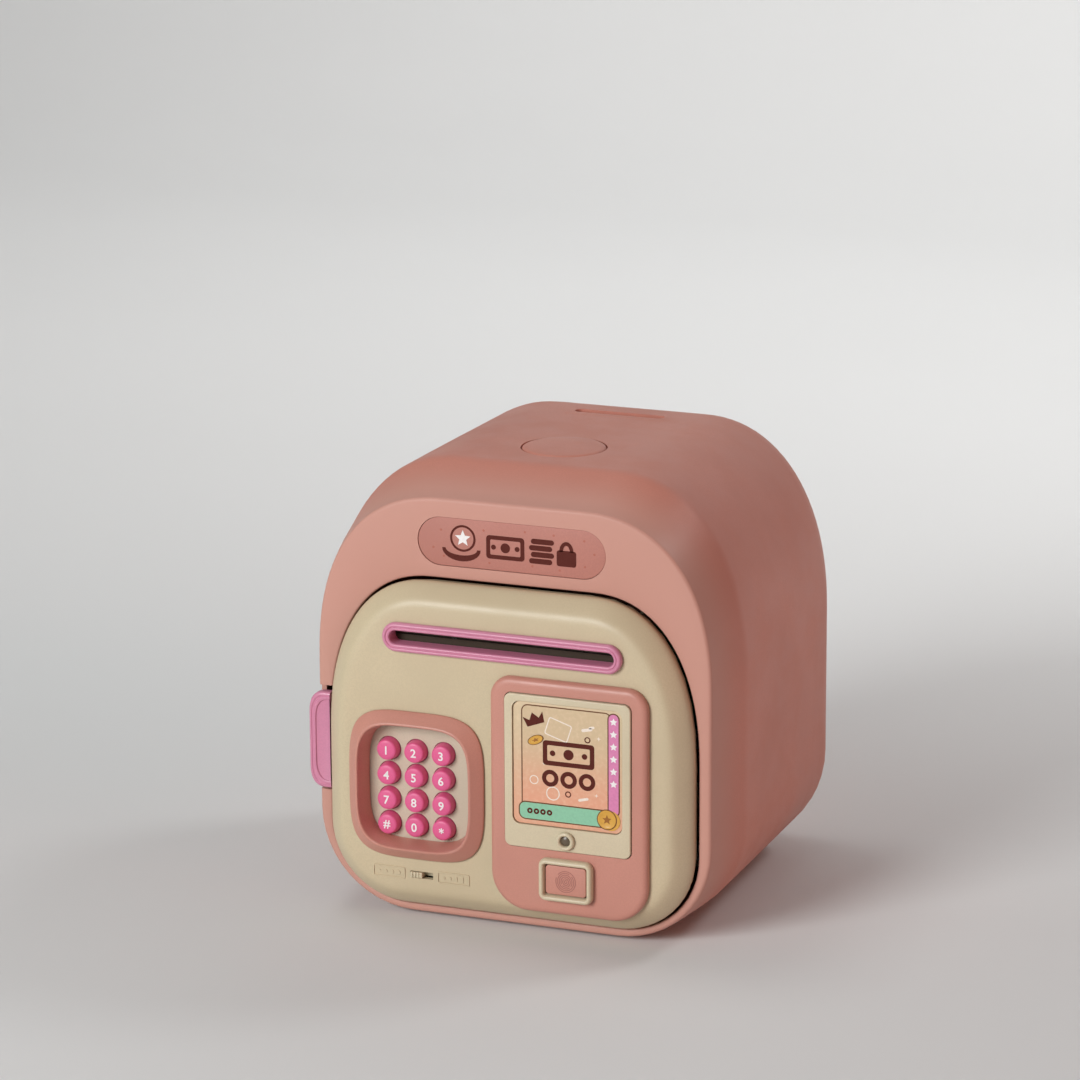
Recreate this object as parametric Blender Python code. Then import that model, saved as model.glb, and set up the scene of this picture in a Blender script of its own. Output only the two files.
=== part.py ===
"""Toy savings bank shaped like a small safe, with a keypad door, built as separate pieces.

Metres, +Z up, the door faces -Y. The origin is on the ground, under the middle of the bank.
Inside this file the sizes are in millimetres in the bank's own frame: x to the right, y back
from the face of the front ring, z up from the underside of the housing.
"""
import math

import bmesh
import bpy
from mathutils import Matrix, Vector

MM = 0.001
GAP = 0.3

# Overall sizes
DEPTH = 138.0
PROUD = 15.0
FOOT_HEIGHT = 1.5
WALL = 2.2
FACE_Y = -(DEPTH - PROUD) / 2

# Housing
RING_HALF, RING_TOP = 75.0, 157.0
BODY_HALF, BODY_TOP = 80.0, 166.0
CHAMFER_DEPTH = 25.0
BACK_ROUND = 20.0
BACK_DRAFT = 1.7
RING_THICK = 2.0
COVER_INSET, LEDGE_INSET = 26.0, 30.0

# Door
DOOR_HALF, DOOR_LOW, DOOR_TOP = 70.2, 4.1, 126.5
DOOR_FACE, DOOR_BACK = -9.0, -0.3
DOOR_GAP = 1.3
DOOR_COVER = (0.0, 1.6)
HINGE_X, HINGE_Y = 47.0, -0.8
KNUCKLE_R, PIN_R, PIN_BORE = 2.8, 1.25, 1.5
HINGE_LEVELS = {"lower": 20.0, "upper": 62.0}
EAR, KNUCKLE = 3.7, 6.0
ARM_LEFT, ARM_RIGHT = -7.2, -3.7

# Keypad
KEYPAD_X, KEYPAD_Z = -33.5, 51.4
KEYPAD_HALF_X, KEYPAD_HALF_Z = 26.3, 27.8
KEY_COLUMNS = (-45.8, -35.1, -24.4)
KEY_ROWS = (63.2, 53.85, 44.45, 35.1)
KEY_R, KEY_FACE, KEY_FLOOR = 4.2, -8.6, -5.0
KEY_NAMES = ("1", "2", "3", "4", "5", "6", "7", "8", "9", "hash", "0", "star")

# Right panel with the screen and the fingerprint pad
PANEL_X, PANEL_LOW, PANEL_TOP, PANEL_HALF = 26.0, 9.8, 96.9, 30.0
PANEL_FACE = -12.0
BEZEL_LOW, BEZEL_TOP, BEZEL_HALF = 34.4, 91.4, 24.0
CARD_LOW, CARD_TOP, CARD_HALF = 43.0, 89.0, 21.0
LAMP_X, LAMP_Z = 25.5, 38.6
PAD_X, PAD_Z = 25.6, 23.6

# Note slot and feeder
SLOT_Z, SLOT_HALF = 106.8, 45.85
FEED_Y, FEED_Z, PINCH_Z = 12.0, 100.8, 112.8
ROLLER_R = 5.7
MODULE, DRUM_TEETH, PINION_TEETH = 0.75, 16, 10
GEAR_X = (-52.0, -47.4)

# Pull tab, roof and floor
TAB_LOW, TAB_TOP, TAB_OUT = 44.0, 80.5, 79.0
SWITCH_X, SWITCH_Z = -32.1, 17.5
LOCK_Z = 37.0
PLAQUE_Z = 141.0
BUTTON_Y, BUTTON_R = 52.0, 15.5
COIN_Y, COIN_HALF_X, COIN_HALF_Y = 109.4, 17.8, 2.3
BATTERY_X, BATTERY_Y = 33.0, (53.0, 111.0)
FEET = ((-42.0, 18.0), (42.0, 18.0), (-42.0, 112.0), (42.0, 112.0))


def clear_scene():
    for item in list(bpy.data.objects):
        bpy.data.objects.remove(item)


def material(name, colour, roughness, metallic=0.0):
    made = bpy.data.materials.new(name)
    made.use_nodes = True
    shader = made.node_tree.nodes["Principled BSDF"]
    shader.inputs["Base Color"].default_value = (*colour, 1.0)
    shader.inputs["Roughness"].default_value = roughness
    shader.inputs["Metallic"].default_value = metallic
    return made


def empty(name, spot, parent=None):
    axis = bpy.data.objects.new(name, None)
    bpy.context.collection.objects.link(axis)
    axis.parent = parent
    axis.location = Vector(spot) * MM
    return axis


def add(name, bm, finish, parent, origin=(0, 0, 0), smooth=35):
    """Turn a bmesh in millimetres, modelled about `origin`, into an object under `parent`."""
    bmesh.ops.remove_doubles(bm, verts=bm.verts, dist=0.001)
    bmesh.ops.recalc_face_normals(bm, faces=bm.faces)
    bmesh.ops.scale(bm, vec=(MM, MM, MM), verts=bm.verts)
    mesh = bpy.data.meshes.new(name)
    bm.to_mesh(mesh)
    bm.free()
    mesh.shade_smooth()
    mesh.set_sharp_from_angle(angle=math.radians(smooth))
    if finish:
        mesh.materials.append(finish)
    return place(name, mesh, parent, origin)


def place(name, mesh, parent, origin=(0, 0, 0)):
    piece = bpy.data.objects.new(name, mesh)
    bpy.context.collection.objects.link(piece)
    piece.parent = parent
    shift = Vector((0, 0, 0)) if parent.parent is None else Vector(parent.location)
    piece.location = Vector(origin) * MM - shift
    return piece


def cut(piece, bm, operation="DIFFERENCE"):
    """Cut a hidden tool out of a piece, or weld it on with UNION."""
    tool = add(f"{piece.name}_tool", bm, None, piece.parent)
    tool.hide_render = True
    tool.display_type = "WIRE"
    step = piece.modifiers.new(operation.lower(), "BOOLEAN")
    step.operation = operation
    step.solver = "EXACT"
    step.object = tool
    return tool


# Outlines, as lists of (x, z) going round from the bottom right corner

def corner(cx, cz, rx, rz, start, power=2.0, steps=8):
    points = []
    for i in range(steps + 1):
        angle = math.radians(start + 90 * i / steps)
        c, s = math.cos(angle), math.sin(angle)
        x = math.copysign(abs(c) ** (2 / power), c)
        z = math.copysign(abs(s) ** (2 / power), s)
        points.append((cx + rx * x, cz + rz * z))
    return points


def arched(half, low, top, low_r, rx, rz, power):
    """A closed outline with round lower corners and long, soft upper ones."""
    points = corner(half - low_r, low + low_r, low_r, low_r, 270, steps=5)
    points += corner(half - rx, top - rz, rx, rz, 0, power, steps=9)
    points += corner(-half + rx, top - rz, rx, rz, 90, power, steps=9)
    points += corner(-half + low_r, low + low_r, low_r, low_r, 180, steps=5)
    return points


def housing_outline(depth_share, inset=0.0, draft=0.0):
    """The body's outline: 0 is the front ring, 1 the full body; then pulled in by `inset`."""
    t = depth_share
    half = RING_HALF + (BODY_HALF - RING_HALF) * t - draft - inset
    top = RING_TOP + (BODY_TOP - RING_TOP) * t - draft / 2 - inset
    rz = 65 + 7 * t - inset
    return arched(half, inset, top, max(36 + 2 * t - inset, 6), 50 - inset, rz, 2.35 - 0.15 * t)


def door_outline(inset=0.0):
    return arched(DOOR_HALF - inset, DOOR_LOW + inset, DOOR_TOP - inset,
                  29 - inset, 40 - inset, 60 - inset, 2.3)


def rounded(cx, cz, half_x, half_z, radius, steps=4, power=2.0):
    points = corner(cx + half_x - radius, cz - half_z + radius, radius, radius, 270, power, steps)
    points += corner(cx + half_x - radius, cz + half_z - radius, radius, radius, 0, power, steps)
    points += corner(cx - half_x + radius, cz + half_z - radius, radius, radius, 90, power, steps)
    points += corner(cx - half_x + radius, cz - half_z + radius, radius, radius, 180, power, steps)
    return points


def stadium(cx, cz, half_x, half_z, steps=6):
    return rounded(cx, cz, half_x, half_z, half_z - 0.01, steps)


# Solids

def skin(stations, closed=False):
    """Join outlines, each (points, y), one after another; close the chain or cap its ends."""
    bm = bmesh.new()
    loops = [[bm.verts.new((x, y, z)) for x, z in points] for points, y in stations]
    pairs = list(zip(loops, loops[1:]))
    if closed:
        pairs.append((loops[-1], loops[0]))
    else:
        bm.faces.new(loops[0])
        bm.faces.new(loops[-1])
    count = len(loops[0])
    for a, b in pairs:
        for i in range(count):
            j = (i + 1) % count
            bm.faces.new((a[i], a[j], b[j], b[i]))
    return bm


def slab(points, near, far):
    """An outline in x and z, carried along y."""
    return skin([(points, near), (points, far)])


def tower(points, low, high):
    """An outline in x and y, carried up z."""
    bm = slab([(x, -y) for x, y in points], low, high)
    bmesh.ops.rotate(bm, matrix=Matrix.Rotation(math.radians(90), 3, "X"), verts=bm.verts)
    return bm


def block(x, y, z, bevel=0.0):
    bm = bmesh.new()
    bmesh.ops.create_cube(bm, size=1.0)
    size = (x[1] - x[0], y[1] - y[0], z[1] - z[0])
    bmesh.ops.scale(bm, vec=size, verts=bm.verts)
    middle = ((x[0] + x[1]) / 2, (y[0] + y[1]) / 2, (z[0] + z[1]) / 2)
    bmesh.ops.translate(bm, vec=middle, verts=bm.verts)
    if bevel:
        bmesh.ops.bevel(bm, geom=bm.edges[:], offset=bevel, segments=2, profile=0.5,
                        affect="EDGES", material=-1)
    return bm


def turned(profile, axis="Y", segments=24, closed=False):
    """Spin (radius, height) points about an axis through the piece's own origin."""
    bm = bmesh.new()
    verts = [bm.verts.new((radius, height, 0)) for radius, height in profile]
    edges = [bm.edges.new(pair) for pair in zip(verts, verts[1:])]
    if closed:
        edges.append(bm.edges.new((verts[-1], verts[0])))
    bmesh.ops.spin(bm, geom=verts + edges, cent=(0, 0, 0), axis=(0, 1, 0),
                   angle=math.tau, steps=segments, use_merge=True)
    if axis == "X":
        bmesh.ops.rotate(bm, matrix=Matrix.Rotation(math.radians(-90), 3, "Z"), verts=bm.verts)
    if axis == "Z":
        bmesh.ops.rotate(bm, matrix=Matrix.Rotation(math.radians(90), 3, "X"), verts=bm.verts)
    return bm


def rod(spot, radius, near, far, axis, segments=20):
    """A plain round bar along x, y or z, between two places on that axis."""
    bm = turned([(0, near), (radius, near), (radius, far), (0, far)], axis, segments)
    bmesh.ops.remove_doubles(bm, verts=bm.verts, dist=0.001)
    bmesh.ops.translate(bm, vec=spot, verts=bm.verts)
    return bm


def merged(parts):
    """Put several separate shapes into one tool."""
    whole = bmesh.new()
    for part in parts:
        scrap = bpy.data.meshes.new("scrap")
        part.to_mesh(scrap)
        part.free()
        whole.from_mesh(scrap)
        bpy.data.meshes.remove(scrap)
    return whole


# Housing

def housing_shell(finish, frame):
    back = DEPTH
    outside = [(housing_outline(0, 0.8), 0.0), (housing_outline(0), 0.8)]
    for y in (8.0, 16.0, 22.0):
        outside.append((housing_outline(y / CHAMFER_DEPTH), y))
    outside += [(housing_outline(0.985), 26.0), (housing_outline(1), 33.0)]
    for y in (75.0, back - BACK_ROUND):
        outside.append((housing_outline(1, 0, BACK_DRAFT * (y - 33) / 85), y))
    for angle in (22, 42, 60, 76, 90):
        bend = math.radians(angle)
        inset = BACK_ROUND * (1 - math.cos(bend))
        y = back - BACK_ROUND * (1 - math.sin(bend))
        outside.append((housing_outline(1, inset, BACK_DRAFT), y))
    ledge = [(COVER_INSET, back), (COVER_INSET, back - 2), (LEDGE_INSET, back - 2),
             (LEDGE_INSET, back - 4), (BACK_ROUND, back - 4), (11.0, back - 7.5),
             (5.0, back - 13), (WALL + 0.3, back - BACK_ROUND)]
    inside = [(housing_outline(1, inset, BACK_DRAFT), y) for inset, y in ledge]
    inside += [(housing_outline(1, WALL), 33.0), (housing_outline(0.985, WALL), 26.0)]
    for y in (16.0, 8.0):
        inside.append((housing_outline(y / CHAMFER_DEPTH, WALL), y))
    inside.append((housing_outline(0.05, WALL), RING_THICK))
    lip = [(door_outline(-DOOR_GAP), RING_THICK), (door_outline(-DOOR_GAP), 0.8),
           (door_outline(-DOOR_GAP - 0.6), 0.0)]
    shell = add("housing_shell", skin(outside + inside + lip, closed=True), finish, frame)
    cut(shell, rod((0, BUTTON_Y, 0), BUTTON_R + GAP, 158, 172, "Z", 32))
    cut(shell, tower(stadium(0, COIN_Y, COIN_HALF_X, COIN_HALF_Y), 158, 172))
    cut(shell, block((-90, -69), (-5, 4.2), (TAB_LOW - 1.2, TAB_TOP + 2)))
    cut(shell, slab(stadium(0, PLAQUE_Z, 36, 9, 8), -3, 1.2))
    cut(shell, block((-BATTERY_X, BATTERY_X), BATTERY_Y, (-3, 4)))
    return shell


def rear_cover(finish, frame):
    outline = housing_outline(1, COVER_INSET + GAP, BACK_DRAFT)
    cover = add("rear_cover", slab(outline, DEPTH - 1.7, DEPTH), finish, frame)
    slots = [slab(stadium(0, 110 + row * 5.0, 15 - abs(row) * 2.5, 1.1, 3), DEPTH - 4, DEPTH + 2)
             for row in range(-2, 3)]
    cut(cover, merged(slots))


def sign_plaque(finish, frame):
    add("sign_plaque", slab(stadium(0, PLAQUE_Z, 36 - GAP, 9 - GAP, 8), 0.3, 0.9), finish, frame)


def battery_bay(finish, frame):
    x, (y0, y1) = BATTERY_X, BATTERY_Y
    outer = rounded(0, (y0 + y1) / 2, x + 3, (y1 - y0) / 2 + 3, 2, 2)
    inner = rounded(0, (y0 + y1) / 2, x + 1.5, (y1 - y0) / 2 + 1.5, 1, 2)
    tray = tower(outer, WALL + GAP, 17.0)
    tray = add("battery_tray", tray, finish, frame)
    cut(tray, tower(inner, 0, 15.4))
    door = block((-x + GAP, x - GAP), (y0 + GAP, y1 - GAP), (0.2, 2.0), 0.4)
    add("battery_door", door, finish, frame)


def cash_floor(finish, frame):
    outline = rounded(0, 79, 68, 44, 12)
    plate = add("cash_floor", tower(outline, 17.5, 19.3), finish, frame)
    cut(plate, block((-45, 45), (35.5, 37.5), (3, 18.5)), "UNION")


def coin_chute(finish, frame):
    outer = rounded(0, COIN_Y, COIN_HALF_X + 3, COIN_HALF_Y + 3, 2, 2)
    inner = rounded(0, COIN_Y, COIN_HALF_X + 1.4, COIN_HALF_Y + 1.4, 1, 2)
    stations = [(outer, 122), (outer, 162.6), (inner, 162.6), (inner, 122)]
    bm = skin([([(x, -y) for x, y in points], z) for points, z in stations], closed=True)
    bmesh.ops.rotate(bm, matrix=Matrix.Rotation(math.radians(90), 3, "X"), verts=bm.verts)
    add("coin_chute", bm, finish, frame)


def hinge_brackets(finish, frame):
    """Gooseneck arms from the right wall, reaching round the door's swing to its pins."""
    x, y = HINGE_X, HINGE_Y
    crank_near, crank_far, wall_x = 25.0, 28.0, 73.4
    for level, low in HINGE_LEVELS.items():
        points = []
        for step in range(13):
            angle = math.radians(205 + step * 200 / 12)
            points.append((x + KNUCKLE_R * math.cos(angle), y + KNUCKLE_R * math.sin(angle)))
        points += [(x + ARM_RIGHT, y + 5.2), (x + ARM_RIGHT, y + crank_near),
                   (wall_x, y + crank_near), (wall_x, y + crank_near + 12),
                   (wall_x - 2.5, y + crank_near + 12), (wall_x - 2.5, y + crank_far),
                   (x + ARM_LEFT, y + crank_far), (x + ARM_LEFT, y + 2.6)]
        base = low + EAR + GAP
        arm = add(f"hinge_bracket_{level}", tower(points, base, base + KNUCKLE), finish, frame)
        cut(arm, rod((x, y, 0), PIN_BORE, base - 5, base + KNUCKLE + 5, "Z", 16))


def inside_fittings(board, dark, cream, frame):
    speaker = [(0, 0), (20, 0), (20, -2), (13, -3), (9, -7), (0, -7)]
    add("speaker", turned(speaker, "Y", 28), dark, frame, (0, DEPTH - 2.2, 110))
    add("main_board", block((-32, 32), (130.5, 132.1), (38, 78)), board, frame)
    add("strike_plate", block((-72.3, -70.6), (2.5, 6.0), (34, 41)), cream, frame)
    bridge = [(-24, 163.2), (-24, 150), (24, 150), (24, 163.2), (22, 163.2), (22, 152),
              (-22, 152), (-22, 163.2)]
    add("button_bridge", slab(bridge, BUTTON_Y - 9, BUTTON_Y + 9), cream, frame)
    switch = block((-3, 3), (BUTTON_Y - 3, BUTTON_Y + 3), (152.3, 154.6), 0.3)
    add("button_switch", switch, dark, frame)


def feet(finish, frame):
    profile = [(0, 0), (5.2, 0), (5.8, 0.4), (5.8, 1.2), (0, 1.2)]
    for number, (x, y) in enumerate(FEET, 1):
        foot = turned(profile, "Z", 24)
        add(f"foot_{number}", foot, finish, frame, (x, y, -FOOT_HEIGHT))


def top_button(finish, frame):
    profile = [(0, 4.3), (14.9, 4.2), (15.5, 3.6), (15.5, -0.6), (17.4, -0.6), (17.4, -2.0),
           (3.0, -2.0), (3.0, -5.0), (0, -5.0)]
    add("top_button", turned(profile, "Z", 32), finish, frame, (0, BUTTON_Y, 162.0))


# Door

def door_shell(finish, door):
    outside = [(0.2, DOOR_BACK), (0.0, -1.0), (0.35, -3.6), (1.3, -5.7), (2.9, -7.4),
               (4.9, -8.5), (7.4, DOOR_FACE)]
    inside = [(8.6, DOOR_FACE + WALL), (4.6, -5.2), (2.6, -3.0), (2.3, DOOR_BACK)]
    stations = [(door_outline(inset), y) for inset, y in inside]
    stations += [(door_outline(inset), y) for inset, y in outside]
    shell = add("door_shell", skin(stations), finish, door)
    near, far = DOOR_FACE - 3, DOOR_BACK + 1
    cut(shell, slab(stadium(0, SLOT_Z, 44.0, 4.0), near, far))
    cut(shell, slab(squircle(2.2), near, far))
    cut(shell, block((SWITCH_X - 4.5, SWITCH_X + 4.5), (near, far), (16.2, 18.8)))
    return shell


def door_inner_cover(finish, door):
    near, far = DOOR_COVER
    cover = add("door_inner_cover", slab(door_outline(0.4), near, far), finish, door)
    cut(cover, slab(rounded(-12, 45, 50, 35, 14), near + 0.5, 6.0), "UNION")
    arms, ears = [], []
    for low in HINGE_LEVELS.values():
        base = low + EAR + GAP
        arms.append(block((HINGE_X + ARM_LEFT - 0.6, HINGE_X + KNUCKLE_R + 3.4), (near - 1, far + 1),
                          (base - GAP, base + KNUCKLE + GAP)))
        top = base + KNUCKLE + GAP + EAR
        arms.append(rod((HINGE_X, HINGE_Y, 0), 2.5, top, top + 2 * GAP + 1, "Z", 16))
        for z in (low, base + KNUCKLE + GAP):
            ears.append(rod((HINGE_X, HINGE_Y, 0), KNUCKLE_R, z, z + EAR, "Z", 24))
    cut(cover, merged(arms))
    cut(cover, merged(ears), "UNION")
    cut(cover, slab(rounded(-12, 45, 48.4, 33.4, 12.4), near - 1, 4.4))
    cut(cover, slab(stadium(0, SLOT_Z, 43.6, 4.0), near - 1, far + 1))
    cut(cover, rod((HINGE_X, HINGE_Y, 0), PIN_BORE, 15, 80, "Z", 16))


def hinge_pins(finish, door):
    for level, low in HINGE_LEVELS.items():
        length = 2 * EAR + KNUCKLE + 2 * GAP
        head = length + GAP
        profile = [(0, 0), (PIN_R, 0), (PIN_R, head), (2.2, head), (2.2, head + 1), (0, head + 1)]
        add(f"hinge_pin_{level}", turned(profile, "Z", 16), finish, door, (HINGE_X, HINGE_Y, low))


def squircle(inset, steps=8):
    """The keypad's outline, pulled in by `inset`: a rectangle whose sides all bow outwards."""
    half_x, half_z = KEYPAD_HALF_X - inset, KEYPAD_HALF_Z - inset
    points = []
    for start in (270, 0, 90, 180):
        points += corner(KEYPAD_X, KEYPAD_Z, half_x, half_z, start, 4.0, 2 * steps)[:-1]
    return points


def keypad_frame(finish, door):
    rings = [(0.0, -9.3), (0.0, -10.0), (3.4, -13.1), (4.0, -13.6), (4.5, -13.6), (4.9, -13.1),
             (6.1, -5.3), (2.5, -5.3), (2.5, -9.3)]
    stations = [(squircle(inset), y) for inset, y in rings]
    add("keypad_frame", skin(stations, closed=True), finish, door)


def keypad_plate(finish, door):
    plate = add("keypad_plate", slab(squircle(2.6), KEY_FLOOR, KEY_FLOOR + 1.4), finish, door)
    holes = [rod((x, 0, z), KEY_R + 0.2, -9, 0, "Y", 16) for x in KEY_COLUMNS for z in KEY_ROWS]
    cut(plate, merged(holes))


def keys(finish, door):
    """Twelve identical sprung keys, each with a flange behind the plate."""
    profile = [(0, KEY_FACE), (3.1, KEY_FACE + 0.3), (KEY_R, KEY_FACE + 1.7), (KEY_R, -3.3),
               (4.6, -3.3), (4.6, -2.3), (1.8, -2.3), (1.8, -1.0), (0, -1.0)]
    spots = [(x, z) for z in KEY_ROWS for x in KEY_COLUMNS]
    mesh = None
    for name, (x, z) in zip(KEY_NAMES, spots):
        if mesh is None:
            first = add(f"key_{name}", turned(profile, "Y", 16), finish, door, (x, 0, z))
            mesh = first.data
        else:
            place(f"key_{name}", mesh, door, (x, 0, z))


def keypad_electronics(rubber, board, door):
    outline = squircle(3.4, 4)
    add("key_membrane", slab(outline, 0.8, 1.8), rubber, door)
    add("keypad_board", slab(outline, 2.1, 3.7), board, door)


def note_slot_bezel(finish, door):
    rings = [(0.0, -9.3), (0.0, -10.6), (0.5, -11.3), (1.3, -11.3), (1.6, -10.9), (2.1, -10.9),
             (2.4, -11.2), (2.9, -11.0), (2.9, -5.0), (1.9, -5.0), (1.9, -9.3)]
    stations = [(stadium(0, SLOT_Z, SLOT_HALF - inset, 5.4 - inset, 5), y) for inset, y in rings]
    add("note_slot_bezel", skin(stations, closed=True), finish, door)


def panel_outline(inset=0.0):
    low_r, top_r = 14.0 - inset, 8.0 - inset
    left, right = PANEL_X - PANEL_HALF + inset, PANEL_X + PANEL_HALF - inset
    low, top = PANEL_LOW + inset, PANEL_TOP - inset
    points = corner(right - low_r, low + low_r, low_r, low_r, 270, steps=6)
    points += corner(right - top_r, top - top_r, top_r, top_r, 0, steps=6)
    points += corner(left + top_r, top - top_r, top_r, top_r, 90, steps=6)
    points += corner(left + low_r, low + low_r, low_r, low_r, 180, steps=6)
    return points


def display_panel(finish, door):
    rings = [(0.0, -9.3), (0.0, -10.2), (0.5, -11.2), (1.4, -11.8), (2.4, PANEL_FACE)]
    panel = add("display_panel", skin([(panel_outline(i), y) for i, y in rings]), finish, door)
    middle, half = (BEZEL_LOW + BEZEL_TOP) / 2, (BEZEL_TOP - BEZEL_LOW) / 2
    pocket = rounded(PANEL_X, middle, BEZEL_HALF + GAP, half + GAP, 4.3)
    cut(panel, slab(pocket, -15, -10.4))
    cut(panel, slab(rounded(PAD_X, PAD_Z, 8.2, 5.8, 1.5), -15, -8))


def screen(cream, card, door):
    middle, half = (BEZEL_LOW + BEZEL_TOP) / 2, (BEZEL_TOP - BEZEL_LOW) / 2
    rings = [(0.0, -10.7), (0.0, -12.5), (0.4, -12.9)]
    stations = [(rounded(PANEL_X, middle, BEZEL_HALF - i, half - i, 4 - i), y) for i, y in rings]
    bezel = add("screen_bezel", skin(stations), cream, door)
    middle, half = (CARD_LOW + CARD_TOP) / 2, (CARD_TOP - CARD_LOW) / 2
    cut(bezel, slab(rounded(PANEL_X, middle, CARD_HALF, half, 3), -15, -8))
    print_card = rounded(PANEL_X, middle, CARD_HALF - GAP, half - GAP, 2.7)
    add("screen_card", slab(print_card, -12.2, -10.7), card, door)


def lamp(cream, dark, door):
    ring = [(3.5, 0.0), (3.5, -0.8), (3.0, -1.3), (2.3, -1.3), (1.9, -0.9), (1.9, 0.0)]
    add("lamp_ring", turned(ring, "Y", 20, closed=True), cream, door, (LAMP_X, -13.2, LAMP_Z))
    lens = [(0, 0), (1.6, 0), (1.6, -0.3), (0.9, -0.6), (0, -0.7)]
    add("lamp_lens", turned(lens, "Y", 20), dark, door, (LAMP_X, -13.2, LAMP_Z))


def fingerprint(cream, pad, door):
    rings = [(10.2, 7.9, 2.6, -12.3), (10.2, 7.9, 2.6, -13.8), (9.6, 7.3, 2.2, -14.8),
             (9.0, 6.7, 1.9, -15.0), (8.4, 6.1, 1.6, -14.7), (8.0, 5.7, 1.4, -12.3)]
    stations = [(rounded(PAD_X, PAD_Z, x, z, r), y) for x, z, r, y in rings]
    add("fingerprint_frame", skin(stations, closed=True), cream, door)
    touch = rounded(0, 0, 7.7, 5.4, 1.2)
    add("fingerprint_pad", slab(touch, -13.5, -10.9), pad, door, (PAD_X, 0, PAD_Z))


def language_switch(cream, dark, door):
    knob = [(2.3, 9.8), (-2.3, 9.8), (-2.3, 6.2), (-5.5, 6.2), (-5.5, 5.0), (5.5, 5.0),
            (5.5, 6.2), (2.3, 6.2)]
    bm = tower([(x, -y) for x, y in knob], -1.0, 1.0)
    add("switch_knob", bm, cream, door, (SWITCH_X - 1.9, 0, SWITCH_Z))
    body = block((SWITCH_X - 7, SWITCH_X + 7), (-4.6, -0.6), (14, 21), 0.3)
    add("slide_switch", body, dark, door)


def pull_tab(finish, door):
    middle, half = (TAB_LOW + TAB_TOP) / 2, (TAB_TOP - TAB_LOW) / 2
    root = DOOR_HALF + GAP
    points = [(-root, middle + half), (-root, middle - half)]
    points += list(reversed(corner(-TAB_OUT + 6, middle - half + 8, 6, 8, 180, 2.4, 6)))
    points += list(reversed(corner(-TAB_OUT + 6, middle + half - 8, 6, 8, 90, 2.4, 6)))
    tab = slab(points, -2.5, 1.0)
    add("pull_tab", tab, finish, door)


# Note feeder on the back of the door

def gear_outline(teeth, module=MODULE, pressure=25.0, backlash=0.16):
    """Involute teeth; a tooth is centred on angle 0."""
    alpha = math.radians(pressure)
    pitch = module * teeth / 2
    base = pitch * math.cos(alpha)
    tip, root = pitch + 0.8 * module, pitch - 1.1 * module
    half_tooth = (math.pi * module / 2 - backlash) / 2 / pitch
    involute = math.tan(alpha) - alpha
    start = max(base, root)
    flank = []
    for step in range(3):
        radius = start + (tip - start) * step / 2
        turn = math.acos(min(base / radius, 1.0))
        flank.append((radius, half_tooth + involute - (math.tan(turn) - turn)))
    points = []
    for tooth in range(teeth):
        centre = math.tau * tooth / teeth
        side = [(root, flank[0][1] + 0.02)] if root < base else []
        right = [(r, centre - a) for r, a in side + flank]
        left = [(r, centre + a) for r, a in reversed(side + flank)]
        points += right + left
    return [(r * math.cos(a), r * math.sin(a)) for r, a in points]


def gear(name, teeth, phase, spot, finish, door, bore):
    """A spur gear about the x axis, turned by `phase` so that it meshes at rest."""
    outline = gear_outline(teeth)
    turn = math.radians(phase)
    turned_points = [(x * math.cos(turn) - z * math.sin(turn),
                      x * math.sin(turn) + z * math.cos(turn)) for x, z in outline]
    bm = slab(turned_points, GEAR_X[0], GEAR_X[1])
    bmesh.ops.rotate(bm, matrix=Matrix.Rotation(math.radians(-90), 3, "Z"), verts=bm.verts)
    wheel = add(name, bm, finish, door, (0, *spot))
    if bore:
        tool = cut(wheel, rod((0, 0, 0), bore, GEAR_X[0] - 3, GEAR_X[1] + 3, "X", 16))
        tool.location = wheel.location
    return wheel


def note_feeder(cream, steel, rubber, brass, door):
    left, right, low, high, sheet = -46.5, 46.5, 82.5, 119.0, 1.6
    channel = [(left, high), (left, low), (right, low), (right, high), (right - sheet, high),
               (right - sheet, low + sheet), (left + sheet, low + sheet), (left + sheet, high)]
    frame = add("feeder_frame", slab(channel, 1.9, 20.0), cream, door)
    motor_z = FEED_Z - MODULE * (DRUM_TEETH + PINION_TEETH) / 2
    bores = [rod((0, FEED_Y, z), 1.6, -60, 60, "X", 16) for z in (FEED_Z, PINCH_Z)]
    bores.append(rod((0, FEED_Y, motor_z), 1.6, -60, -40, "X", 16))
    cut(frame, merged(bores))
    shaft = [(0, -52.4), (1.25, -52.4), (1.25, -44.4), (2.0, -44.4), (2.0, 44.4), (1.25, 44.4),
             (1.25, 48.0), (0, 48.0)]
    sleeve = [(ROLLER_R, -24), (ROLLER_R, 24), (2.3, 24), (2.3, -24)]
    for name, z in (("feed", FEED_Z), ("pinch", PINCH_Z)):
        add(f"{name}_shaft", turned(shaft, "X", 16), steel, door, (0, FEED_Y, z))
        roller = turned(sleeve, "X", 24, closed=True)
        add(f"{name}_roller", roller, rubber, door, (0, FEED_Y, z))
    half_tooth = 180 / DRUM_TEETH
    gear("feed_gear", DRUM_TEETH, 0, (FEED_Y, FEED_Z), brass, door, 1.55)
    gear("pinch_gear", DRUM_TEETH, half_tooth, (FEED_Y, PINCH_Z), brass, door, 1.55)
    gear("motor_pinion", PINION_TEETH, 0, (FEED_Y, motor_z), brass, door, 1.3)
    motor = [(0, -25.5), (4.0, -25.5), (6.0, -26.5), (6.0, -42.5), (3.0, -42.5), (3.0, -44.0),
             (1.0, -44.0), (1.0, -52.2), (0, -52.2)]
    add("feed_motor", turned(motor, "X", 20), steel, door, (0, FEED_Y, motor_z))


def lock_bolt(finish, door):
    add("lock_bolt", block((-10, 10), (-1.5, 1.5), (-3, 3), 0.4), finish, door, (-59.4, 8.0, LOCK_Z))


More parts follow.
